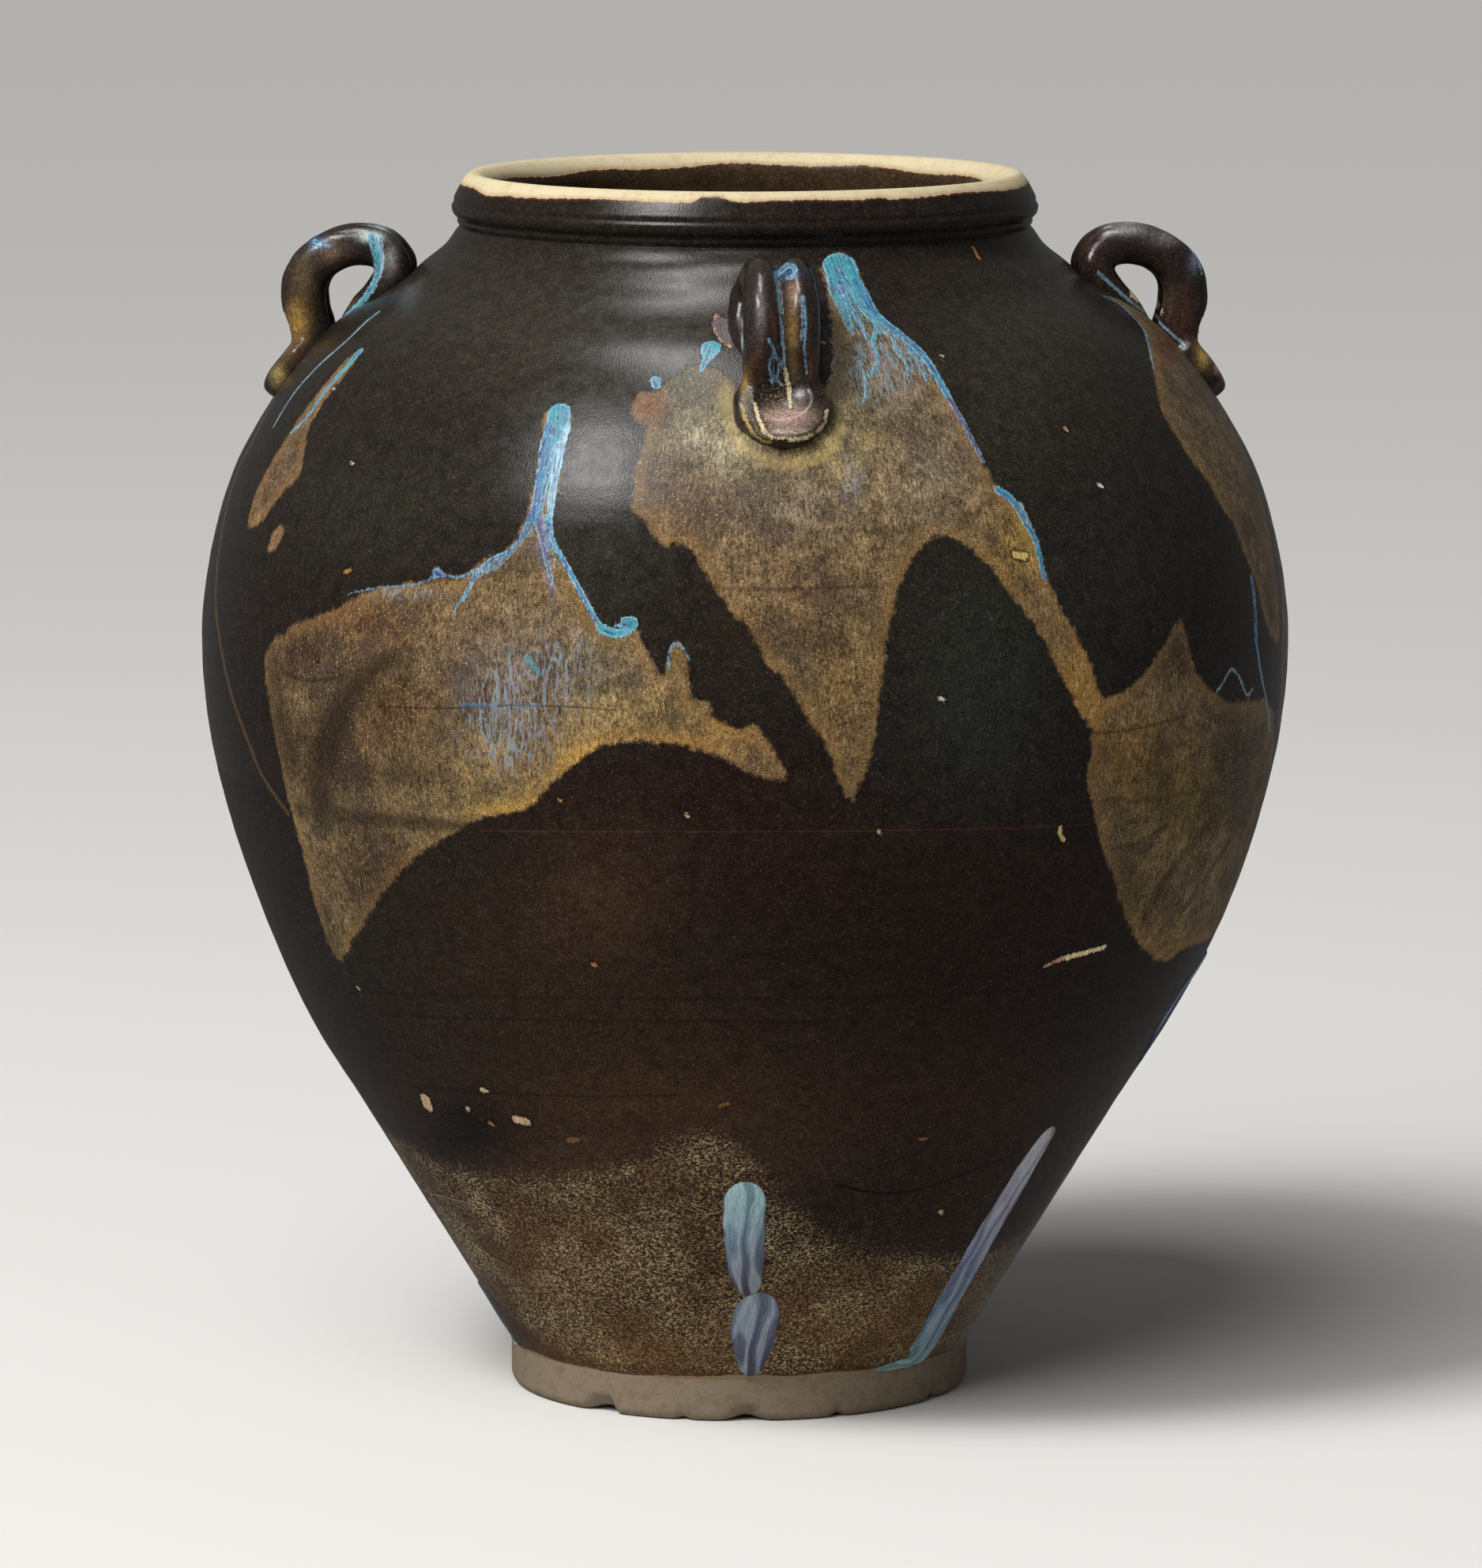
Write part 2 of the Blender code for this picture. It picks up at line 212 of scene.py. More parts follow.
def soft_step(values: Array, low: float, high: float) -> Array:
    """Rises smoothly from 0 at low to 1 at high, or falls where high is the lower."""
    share = np.clip((values - low) / (high - low), 0.0, 1.0)
    return share * share * (3 - 2 * share)


def lengths_along(points: Array) -> Array:
    """Measures how far each point of a line lies along it."""
    return np.concatenate([[0.0], np.cumsum(np.linalg.norm(np.diff(points, axis=0), axis=1))])


def respaced(points: Array, count: int) -> Array:
    """Spaces points evenly along a line.

    Args:
        points: The line.
        count: How many steps.

    Returns:
        The new points.
    """
    lengths = lengths_along(points)
    targets = np.linspace(0.0, lengths[-1], count + 1)
    return np.stack([np.interp(targets, lengths, points[:, axis]) for axis in range(2)], axis=1)


# The shape of the turned body

LOWER_SHARES: Pairs = (
    (0.000, 0.000), (0.073, 0.096), (0.206, 0.284), (0.338, 0.468), (0.470, 0.656),
    (0.603, 0.800), (0.735, 0.906), (0.868, 0.977), (1.000, 1.000),
)
UPPER_SHARES: Pairs = (
    (0.215, 0.041), (0.431, 0.141), (0.603, 0.291), (0.759, 0.480), (0.862, 0.661),
    (0.948, 0.892), (1.000, 1.000),
)
LIP_SHARES: Pairs = (
    (0.21, 0.95), (0.42, 1.00), (0.63, 0.88), (0.85, 0.72), (0.97, 0.58), (1.00, 0.46),
    (0.96, 0.27), (0.82, 0.09), (0.60, 0.00), (0.25, 0.01),
)
THROAT_SHARES: Pairs = ((0.20, 0.96), (0.52, 0.70), (0.80, 0.36))


@dataclass
class JarOutline:
    """The turned outline of the jar. Its sizes come from the frame, and its curves are shares."""

    foot_radius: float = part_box("base_slab")[1].x
    foot_height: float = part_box("base_slab")[1].z
    belly_radius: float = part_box("upper_wall")[1].x
    seam_height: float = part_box("upper_wall")[0].z
    shoulder_height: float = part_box("upper_wall")[1].z
    shoulder_radius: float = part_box("neck_ring")[1].x
    crest_height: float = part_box("neck_ring")[1].z
    belly_share: float = 0.6617
    neck_share: float = 0.4235
    neck_flare: float = 12.3 * MM
    lip_overhang: float = 2.6 * MM
    lip_width: float = 12.7 * MM
    wall: float = 8.5 * MM
    lean: float = -1.8 * MM
    lean_top: float = 165.0 * MM
    lean_full: float = 98.0 * MM
    steps: int = 24
    outside: Array = field(init=False)
    lip: Array = field(init=False)
    throat: Array = field(init=False)

    def __post_init__(self) -> None:
        """Works out the outside from the foot to the neck, then the lip and the throat."""
        foot, shoulder = self.foot_height, self.shoulder_height
        belly = foot + (shoulder - foot) * self.belly_share
        swell = self.belly_radius - self.foot_radius
        draw_in = self.belly_radius - self.shoulder_radius
        rise = self.crest_height - shoulder
        neck = (self.shoulder_radius - self.neck_flare, shoulder + rise * self.neck_share)
        keys = [(self.foot_radius + swell * out, foot + (belly - foot) * up) for up, out in LOWER_SHARES]
        keys += [
            (self.belly_radius - draw_in * back, belly + (shoulder - belly) * up)
            for up, back in UPPER_SHARES
        ]
        self.outside = smooth_through(np.array(keys + [neck]), self.steps)
        mouth = neck[0] + self.lip_overhang - self.lip_width
        rise = self.crest_height - neck[1]
        keys = [(mouth + self.lip_width * out, neck[1] + rise * up) for up, out in LIP_SHARES]
        self.lip = smooth_through(np.array([neck] + keys), self.steps)
        top, seat = keys[-1], self.inside_at(shoulder)
        keys = [
            (seat[0] + (top[0] - seat[0]) * back, top[1] + (seat[1] - top[1]) * down)
            for down, back in THROAT_SHARES
        ]
        self.throat = smooth_through(np.array([top, *keys, seat]), self.steps)

    def radius_at(self, height: Array) -> Array:
        """Finds the outside's radius at each height."""
        return np.interp(height, self.outside[:, 1], self.outside[:, 0])

    def arc_at(self, height: Array) -> Array:
        """Finds how far along the outside each height lies."""
        return np.interp(height, self.outside[:, 1], lengths_along(self.outside))

    def height_at(self, arc: Array) -> Array:
        """Finds the height at each distance along the outside."""
        return np.interp(arc, lengths_along(self.outside), self.outside[:, 1])

    def lean_at(self, height: Array) -> Array:
        """Finds how far the jar has warped to the side at each height."""
        return self.lean * soft_step(height, self.lean_top, self.lean_full)

    def normal_at(self, height: Array) -> Array:
        """Finds the outside's normal at each height, as its radial and upward parts."""
        slope = np.gradient(self.outside, axis=0)
        slope /= np.linalg.norm(slope, axis=1)[:, None]
        parts = [np.interp(height, self.outside[:, 1], part) for part in (slope[:, 1], -slope[:, 0])]
        return np.stack(parts, axis=-1)

    def inside_at(self, height: float) -> Array:
        """Finds the point one wall's thickness inside the outside at a height."""
        return np.array([self.radius_at(height), height]) - self.normal_at(height) * self.wall

    def between(self, low: float, high: float, count: int) -> Array:
        """Spaces count + 1 points along the outside from one height to another."""
        part = self.outside[(self.outside[:, 1] > low) & (self.outside[:, 1] < high)]
        ends = [[self.radius_at(z), z] for z in (low, high)]
        return respaced(np.vstack([ends[:1], part, ends[1:]]), count)

    def inside_between(self, low: float, high: float, count: int) -> Array:
        """Spaces points along the inside of the wall, from one outside height to another."""
        outer = self.between(low, high, count)
        return outer - self.normal_at(outer[:, 1]) * self.wall


# The photograph's camera, and where a pixel of it lies on the jar


@dataclass(frozen=True)
class PhotoView:
    """The camera that took the photograph, as fitted to the jar's rim, seam, foot and outline."""

    height: int = 1985
    axis_x: float = 943.0
    middle_x: float = 938.0
    middle_y: float = 992.5
    focal: float = 11760.0
    distance: float = 2.9138
    above: float = 0.5972
    tilt: float = 0.13856
    near: float = 0.20
    samples: int = 500

    def make_camera(self) -> None:
        """Makes the scene's camera."""
        data = bpy.data.cameras.new("photo_camera")
        data.sensor_fit = "VERTICAL"
        data.sensor_height = 36.0
        data.lens = data.sensor_height * self.focal / self.height
        camera = linked("photo_camera", data)
        shift = (self.middle_x - self.axis_x) * self.distance / self.focal
        camera.location = (shift, -self.distance, self.above)
        camera.rotation_euler = (math.pi / 2 - self.tilt, 0.0, 0.0)
        bpy.context.scene.camera = camera

    def seen(self, pixels: Pairs, outline: JarOutline) -> Array:
        """Finds where each pixel lies on the jar's outside.

        Args:
            pixels: Points of the photograph.
            outline: The jar's turned outline.

        Returns:
            For each pixel the angle round from the front, in radians, and the height.
        """
        place = np.array(pixels, float)
        right = (place[:, 0] - self.axis_x) / self.focal
        up = (self.middle_y - place[:, 1]) / self.focal
        sine, cosine = math.sin(self.tilt), math.cos(self.tilt)
        ray = np.stack([right, cosine + up * sine, up * cosine - sine], axis=1)
        steps = np.linspace(self.distance - self.near, self.distance + self.near, self.samples)
        points = ray[:, None, :] * steps[None, :, None] + np.array([0.0, -self.distance, self.above])
        heights = points[:, :, 2]
        aside = points[:, :, 0] - outline.lean_at(heights)
        clear = np.hypot(aside, points[:, :, 1]) - outline.radius_at(heights)
        inside = clear < 0
        first = np.where(inside.any(axis=1), inside.argmax(axis=1), clear.argmin(axis=1))
        rows = np.arange(len(place))
        hit = points[rows, first]
        return np.stack([np.arctan2(aside[rows, first], -hit[:, 1]), hit[:, 2]], axis=1)


def round_side(places: Pairs) -> Array:
    """Turns degrees round from the front and millimetres up into radians and metres."""
    return np.array(places, float) * (math.pi / 180, MM)


# The glaze pattern, by points of the photograph given in its own pixels


class Tint(Enum):
    """The colours of the lines: the blue glaze as it breaks, bare chips, and dark folds."""

    TURQUOISE = "#418f9a"
    SKY = "#3d7f9c"
    COBALT = "#2c5078"
    LILAC = "#5b5880"
    ICE = "#8db5c2"
    CREAM = "#d8c69c"
    YELLOW = "#c9b06a"
    BUFF = "#b79c7b"
    PINK = "#b98f78"
    ORANGE = "#a5713f"
    WHITE = "#cfc8ba"
    STONE = "#75696a"
    UMBER = "#241b12"
    OCHRE = "#6b5334"
    RUST = "#5a2c1c"
    BLACK = "#0b0908"


@dataclass(frozen=True)
class Run:
    """A thin run of blue glaze along a line, with its half width at each end in millimetres."""

    line: Pairs
    start: float
    end: float
    tint: Tint
    fade: float = 1.0

    def paint(self) -> tuple[float, float, float, float]:
        """Gives the run's colour, with how strongly it covers as its alpha."""
        return *linear(self.tint.value)[:3], self.fade


@dataclass(frozen=True)
class Tone:
    """A soft cloud of colour: its middle and reach in pixels, its colour and its strength."""

    across: float
    down: float
    wide: float
    tall: float
    colour: str
    strength: float = 0.8


LEFT_SPLASH: Pairs = (
    (690, 525), (684, 568), (672, 632), (661, 668), (643, 692), (608, 712), (585, 731), (538, 736),
    (472, 747), (430, 768), (382, 788), (350, 808), (335, 835), (338, 870), (352, 955), (378, 1062),
    (395, 1130), (410, 1180), (427, 1216), (440, 1203), (457, 1172), (503, 1108), (532, 1080),
    (571, 1057), (608, 1036), (664, 1025), (689, 1001), (723, 968), (767, 942), (826, 939),
    (893, 951), (959, 983), (993, 988), (994, 974), (970, 939), (952, 916), (937, 924), (906, 912),
    (893, 890), (874, 885), (871, 846), (860, 815), (848, 820), (845, 846), (834, 857), (815, 817),
    (800, 791), (778, 802), (761, 798), (737, 757), (715, 717), (697, 672), (699, 646), (708, 609),
    (716, 554), (724, 528), (707, 516),
)
MIDDLE_SPLASH: Pairs = (
    (1064, 318), (1086, 344), (1097, 373), (1112, 400), (1144, 425), (1171, 451), (1199, 500),
    (1232, 561), (1263, 620), (1291, 646), (1314, 690), (1323, 728), (1348, 781), (1374, 825),
    (1392, 884), (1390, 930), (1372, 908), (1345, 858), (1319, 805), (1289, 764), (1257, 722),
    (1222, 690), (1194, 677), (1168, 689), (1143, 728), (1128, 778), (1118, 831), (1112, 899),
    (1103, 951), (1084, 1004), (1077, 1016), (1063, 990), (1049, 949), (1026, 913), (1000, 868),
    (971, 837), (948, 798), (911, 754), (882, 706), (872, 691), (848, 689), (845, 697), (823, 672),
    (815, 654), (800, 643), (806, 591), (819, 550), (832, 500), (853, 478), (885, 462), (925, 480),
    (945, 520), (1040, 500), (1053, 420), (1048, 373), (1042, 338),
)
RIGHT_SPLASH: Pairs = (
    (1382, 926), (1382, 948), (1377, 972), (1379, 998), (1388, 1045), (1395, 1072), (1410, 1110),
    (1420, 1150), (1440, 1190), (1465, 1215), (1485, 1213), (1500, 1200), (1545, 1170), (1590, 1060),
    (1612, 900), (1560, 890), (1530, 872), (1510, 840), (1495, 784), (1477, 811), (1451, 849),
    (1418, 878), (1392, 888),
)
RIGHT_SHOULDER_SPLASH: Pairs = (
    (1399, 375), (1417, 384), (1448, 417), (1456, 451), (1463, 490), (1470, 522), (1485, 545),
    (1500, 570), (1513, 590), (1530, 610), (1545, 640), (1560, 660), (1575, 700), (1590, 735),
    (1604, 790), (1618, 815), (1619, 760), (1600, 640), (1560, 540), (1520, 470), (1480, 425),
    (1430, 385),
)
LEFT_SHOULDER_SPLASH: Pairs = (
    (456, 442), (430, 465), (412, 487), (385, 522), (368, 546), (340, 591), (317, 642), (313, 666),
    (331, 660), (352, 630), (379, 600), (385, 570), (394, 534), (420, 495), (444, 466),
)
LEFT_SPOT: Pairs = ((356, 664), (344, 676), (338, 697), (348, 694), (357, 680))
RED_SPOT: Pairs = ((806, 500), (834, 498), (841, 515), (826, 535), (806, 530), (799, 514))
PALE_ZONE: Pairs = (
    (470, 1425), (560, 1470), (640, 1485), (760, 1480), (830, 1450), (900, 1428), (940, 1450),
    (980, 1490), (1030, 1540), (1100, 1575), (1200, 1590), (1290, 1560), (1345, 1500), (1400, 1440),
    (1330, 1600), (1240, 1712), (1100, 1750), (940, 1760), (790, 1742), (670, 1690), (560, 1596),
)
RAIN: Rows = (
    (645, 905, 78, 95, 0.95), (700, 850, 85, 85, 0.6), (1120, 465, 62, 62, 1.0), (1078, 600, 24, 70, 0.6),
    (510, 750, 80, 16, 0.55),
)
BLUE_RUNS: tuple[Run, ...] = (
    Run(((708, 524), (706, 548)), 3.9, 3.6, Tint.TURQUOISE),
    Run(((698, 540), (690, 580), (683, 620), (676, 660)), 2.4, 1.3, Tint.SKY),
    Run(((715, 540), (707, 580), (700, 620), (696, 655)), 2.2, 1.2, Tint.ICE),
    Run(((688, 560), (677, 630), (664, 670), (646, 697), (612, 716), (585, 760)), 1.0, 0.7, Tint.COBALT),
    Run(((676, 660), (655, 690), (630, 716), (600, 735), (571, 780)), 1.2, 0.4, Tint.SKY, 0.5),
    Run(((696, 655), (700, 685), (715, 712), (737, 754), (761, 793), (778, 800)), 0.9, 1.0, Tint.SKY),
    Run(((761, 796), (780, 802), (798, 796), (802, 786), (790, 786)), 1.6, 1.2, Tint.TURQUOISE),
    Run(((612, 716), (585, 730), (560, 729), (520, 741), (478, 744), (440, 752)), 0.6, 0.3,
        Tint.COBALT, 0.6),
    Run(((846, 844), (849, 820), (860, 815), (872, 834)), 0.6, 0.4, Tint.SKY, 0.5),
    Run(((683, 660), (690, 700), (700, 745)), 1.6, 0.6, Tint.LILAC, 0.8),
    Run(((1064, 338), (1066, 342)), 5.6, 5.6, Tint.TURQUOISE),
    Run(((1052, 352), (1058, 374), (1072, 397), (1080, 424)), 1.6, 0.5, Tint.TURQUOISE),
    Run(((1062, 352), (1070, 378), (1086, 404), (1096, 430)), 1.6, 0.5, Tint.SKY),
    Run(((1074, 352), (1084, 378), (1100, 402), (1122, 424)), 1.7, 0.6, Tint.TURQUOISE),
    Run(((1082, 352), (1094, 376), (1110, 400), (1142, 426), (1168, 450), (1184, 474), (1199, 502)),
        1.9, 1.3, Tint.SKY),
    Run(((1199, 502), (1222, 540), (1244, 584)), 1.2, 0.8, Tint.LILAC, 0.7),
    Run(((1263, 620), (1280, 632), (1296, 656), (1310, 684), (1318, 712), (1322, 732)),
        1.5, 0.9, Tint.SKY),
    Run(((1291, 640), (1300, 661), (1308, 680)), 1.3, 0.8, Tint.ICE, 0.8),
    Run(((1052, 365), (1066, 396), (1077, 420)), 1.2, 0.9, Tint.TURQUOISE, 0.8),
    Run(((1112, 408), (1104, 432), (1111, 452), (1102, 476)), 0.9, 0.7, Tint.TURQUOISE, 0.9),
    Run(((1128, 422), (1134, 444), (1146, 458), (1150, 474)), 0.8, 0.5, Tint.TURQUOISE, 0.8),
    Run(((1147, 440), (1162, 462), (1172, 482)), 0.7, 0.5, Tint.SKY, 0.8),
    Run(((1086, 452), (1096, 486), (1092, 512)), 0.6, 0.4, Tint.TURQUOISE, 0.7),
    Run(((900, 440), (898, 446)), 3.3, 2.8, Tint.TURQUOISE),
    Run(((896, 452), (887, 470)), 1.7, 0.8, Tint.SKY, 0.8),
    Run(((830, 482), (831, 488)), 1.9, 1.4, Tint.TURQUOISE, 0.9),
    Run(((454, 446), (444, 458), (428, 476)), 1.9, 1.4, Tint.TURQUOISE),
    Run(((428, 476), (410, 498), (388, 528), (368, 548)), 1.3, 0.8, Tint.SKY),
    Run(((1399, 376), (1417, 385), (1435, 402), (1448, 418), (1453, 434)), 1.0, 0.8, Tint.COBALT),
    Run(((1453, 434), (1457, 452), (1461, 468)), 0.7, 0.5, Tint.ICE, 0.7),
    Run(((1585, 732), (1589, 770), (1590, 810)), 1.4, 1.2, Tint.COBALT),
    Run(((1590, 812), (1596, 850), (1604, 890), (1608, 925)), 0.9, 0.7, Tint.SKY, 0.9),
    Run(((1540, 876), (1548, 866), (1558, 848), (1568, 856), (1578, 880), (1586, 872)),
        0.6, 0.6, Tint.ICE, 0.6),
    Run(((553, 724), (557, 727)), 1.5, 1.3, Tint.COBALT, 0.9),
    Run(((480, 395), (440, 430), (400, 466), (370, 500), (345, 540)), 1.0, 0.7, Tint.ICE, 0.7),
    Run(((1480, 418), (1500, 438), (1518, 460)), 1.2, 0.8, Tint.ICE, 0.7),
)
FOLDS: tuple[Run, ...] = (
    Run(((668, 834), (675, 842), (682, 852)), 2.1, 1.4, Tint.TURQUOISE, 0.5),
    Run(((588, 891), (640, 892), (682, 893)), 0.6, 0.5, Tint.SKY, 0.4),
    Run(((680, 690), (692, 720), (700, 760)), 2.6, 1.4, Tint.LILAC, 0.25),
    Run(((500, 832), (474, 848), (446, 876), (426, 914), (412, 960), (404, 1022)), 4.0, 10.0,
        Tint.UMBER, 0.65),
    Run(((380, 1026), (440, 1034), (510, 1040), (570, 1046), (600, 1047)), 4.6, 2.4, Tint.UMBER, 0.6),
    Run(((335, 845), (370, 856), (400, 862), (450, 850), (480, 838)), 1.3, 1.0, Tint.UMBER, 0.55),
    Run(((348, 868), (352, 905), (366, 960)), 7.0, 8.0, Tint.UMBER, 0.55),
    Run(((480, 894), (560, 897), (640, 893), (720, 895), (780, 899)), 0.5, 0.4, Tint.UMBER, 0.6),
    Run(((400, 982), (470, 985), (560, 980)), 5.0, 4.0, Tint.UMBER, 0.35),
    Run(((880, 742), (960, 746), (1050, 744), (1110, 742)), 1.0, 0.8, Tint.UMBER, 0.45),
    Run(((900, 800), (980, 812), (1060, 810)), 5.0, 4.4, Tint.UMBER, 0.3),
    Run(((1383, 928), (1420, 926), (1450, 920), (1500, 906)), 0.9, 0.6, Tint.UMBER, 0.55),
    Run(((1535, 1038), (1500, 1080), (1470, 1120), (1450, 1160)), 3.4, 3.0, Tint.UMBER, 0.5),
    Run(((1560, 1060), (1530, 1105), (1500, 1150)), 2.6, 2.2, Tint.UMBER, 0.45),
    Run(((1400, 1010), (1450, 1014), (1520, 1000)), 1.4, 1.0, Tint.UMBER, 0.4),
    Run(((1405, 1075), (1440, 1066), (1480, 1044)), 1.2, 0.9, Tint.UMBER, 0.4),
    Run(((382, 459), (349, 501), (322, 552), (304, 588), (289, 630), (280, 675), (274, 720), (272, 765),
         (277, 810), (290, 870), (310, 930), (330, 980), (365, 1030)), 2.2, 1.3, Tint.OCHRE, 0.40),
    Run(((918, 496), (924, 535), (950, 572), (998, 588), (1046, 573), (1066, 540)), 3.6, 2.6,
        Tint.YELLOW, 0.20),
    Run(((600, 1051), (760, 1053), (900, 1053), (1060, 1052), (1200, 1050), (1380, 1044)), 0.35, 0.35,
        Tint.RUST, 0.40),
    Run(((470, 1256), (640, 1262), (860, 1264), (1080, 1262), (1280, 1254)), 0.9, 0.9, Tint.BLACK, 0.3),
    Run(((480, 1284), (660, 1291), (880, 1293), (1100, 1291)), 0.7, 0.7, Tint.BLACK, 0.35),
    Run(((520, 1374), (640, 1384), (760, 1388), (860, 1386)), 0.9, 0.6, Tint.BLACK, 0.4),
    Run(((1060, 1500), (1095, 1508), (1130, 1510), (1175, 1502), (1230, 1482), (1290, 1457)), 0.8, 0.5,
        Tint.BLACK, 0.85),
    Run(((600, 1590), (608, 1600)), 0.8, 0.8, Tint.BLACK, 0.85),
    Run(((532, 1505), (580, 1520), (640, 1535)), 0.16, 0.16, Tint.BUFF, 0.6),
    Run(((1188, 1701), (1212, 1688), (1235, 1674)), 0.25, 0.25, Tint.BUFF, 0.7),
)
BACK_FOLDS: tuple[Run, ...] = (
    Run(((96, 262), (108, 263), (122, 261), (136, 263)), 1.4, 1.0, Tint.UMBER, 0.45),
    Run(((-102, 250), (-114, 252), (-128, 249), (-138, 251)), 1.4, 1.0, Tint.UMBER, 0.45),
    Run(((-112, 330), (-122, 300), (-126, 270), (-124, 240)), 2.8, 2.2, Tint.UMBER, 0.45),
    Run(((80, 200), (110, 200), (150, 200), (190, 200), (230, 200), (262, 200)), 0.35, 0.35,
        Tint.RUST, 0.60),
    Run(((85, 120), (120, 121), (160, 120), (200, 121), (250, 120)), 0.8, 0.8, Tint.BLACK, 0.35),
)
CHIPS: tuple[Run, ...] = (
    Run(((538, 1392), (541, 1401)), 2.4, 2.2, Tint.BUFF),
    Run(((654, 1417), (665, 1420)), 1.7, 1.8, Tint.BUFF),
    Run(((592, 1403), (592, 1405)), 0.9, 0.9, Tint.BUFF, 0.8),
    Run(((611, 1380), (616, 1381)), 1.1, 1.0, Tint.CREAM, 0.7),
    Run(((620, 1422), (624, 1424)), 1.0, 0.8, Tint.ORANGE, 0.9),
    Run(((720, 1444), (730, 1443)), 1.2, 1.0, Tint.ORANGE, 0.4),
    Run(((912, 1400), (922, 1397)), 0.9, 0.7, Tint.ORANGE, 0.5),
    Run(((1165, 1442), (1171, 1442)), 0.8, 0.8, Tint.ORANGE, 0.5),
    Run(((1190, 1534), (1192, 1536)), 0.8, 0.8, Tint.CREAM, 0.6),
    Run(((1322, 1223), (1345, 1213)), 0.7, 1.0, Tint.PINK, 0.8),
    Run(((1352, 1212), (1374, 1206), (1398, 1199)), 1.1, 0.9, Tint.CREAM, 0.9),
    Run(((1343, 1048), (1342, 1056), (1346, 1064)), 0.9, 0.9, Tint.YELLOW, 0.9),
    Run(((1112, 1052), (1114, 1054)), 0.7, 0.7, Tint.YELLOW, 0.8),
    Run(((1286, 702), (1297, 704)), 1.3, 1.3, Tint.YELLOW, 0.95),
    Run(((1233, 314), (1242, 327)), 0.9, 0.7, Tint.ORANGE, 0.9),
    Run(((1190, 884), (1194, 886)), 0.7, 0.7, Tint.WHITE, 0.8),
    Run(((437, 724), (444, 721)), 0.9, 0.7, Tint.ORANGE, 0.9),
    Run(((421, 491), (424, 493)), 0.8, 0.7, Tint.PINK, 0.9),
    Run(((445, 585), (448, 586)), 0.6, 0.5, Tint.PINK, 0.9),
    Run(((1190, 450), (1193, 451)), 0.6, 0.5, Tint.PINK, 0.8),
    Run(((1347, 542), (1350, 545)), 0.9, 0.8, Tint.PINK, 0.9),
    Run(((1391, 614), (1394, 616)), 0.8, 0.8, Tint.WHITE, 0.9),
    Run(((452, 1250), (455, 1252)), 0.7, 0.7, Tint.PINK, 0.9),
    Run(((708, 1012), (711, 1014)), 0.6, 0.6, Tint.ORANGE, 0.8),
    Run(((868, 1031), (870, 1034)), 0.7, 0.7, Tint.YELLOW, 0.7),
    Run(((750, 1220), (753, 1222)), 0.7, 0.7, Tint.ORANGE, 0.8),
    Run(((912, 408), (922, 428)), 2.8, 3.0, Tint.STONE, 0.55),
    Run(((905, 398), (904, 414), (912, 430), (924, 439)), 0.6, 0.6, Tint.PINK, 0.8),
    Run(((934, 402), (936, 414)), 2.2, 2.4, Tint.STONE, 0.9),
    Run(((1038, 432), (1042, 434)), 0.7, 0.7, Tint.PINK, 0.9),
)
BACK_CHIPS: tuple[Run, ...] = (
    Run(((118, 96), (119, 94)), 1.6, 1.4, Tint.BUFF),
    Run(((165, 128), (167, 126)), 1.0, 0.9, Tint.ORANGE, 0.8),
    Run(((196, 104), (199, 105)), 1.3, 1.2, Tint.CREAM, 0.9),
    Run(((215, 312), (216, 312)), 0.6, 0.6, Tint.WHITE, 0.8),
    Run(((-105, 90), (-108, 92)), 1.4, 1.2, Tint.ORANGE, 0.8),
)
GROUND_TONES: tuple[Tone, ...] = (
    # The two clouds on this line, lighter and greyer on the upper shoulder, are partly the glaze's olive
    # tone and partly painted sheen where the shoulder faces the light.
    Tone(700, 420, 300, 130, "#2a2720"), Tone(1300, 480, 160, 170, "#28261f"),
    Tone(1420, 700, 120, 180, "#20201c"), Tone(1240, 860, 120, 220, "#21231e", 0.95),
    Tone(940, 820, 110, 130, "#1d1914", 0.9), Tone(760, 690, 110, 130, "#24231d", 0.7),
    Tone(480, 640, 160, 110, "#23221b", 0.7), Tone(870, 1010, 210, 70, "#1e120f", 0.95),
    Tone(1000, 1110, 420, 90, "#21140f", 0.9), Tone(600, 1200, 180, 140, "#231a12"),
    Tone(760, 1150, 110, 110, "#3a2819", 0.55), Tone(860, 1290, 330, 90, "#2a1c12"),
    Tone(1150, 1210, 280, 120, "#1e120e", 0.85), Tone(820, 1400, 330, 70, "#352416", 0.9),
    Tone(1190, 1400, 240, 90, "#25170f"), Tone(1210, 1530, 130, 60, "#21150f"),
    Tone(700, 1600, 260, 110, "#372517", 1.0), Tone(560, 1590, 110, 110, "#2d2016", 1.0),
    Tone(520, 1530, 60, 90, "#291c13", 1.0), Tone(1130, 1680, 260, 80, "#3f2c19", 1.0),
    Tone(800, 1720, 240, 50, "#45311d", 0.9), Tone(750, 1475, 200, 48, "#35251a", 0.85),
    Tone(970, 1460, 130, 55, "#2e2017", 0.75), Tone(590, 1430, 80, 58, "#130e0c", 1.0),
    Tone(440, 1180, 60, 150, "#1c1a15", 0.7),
)
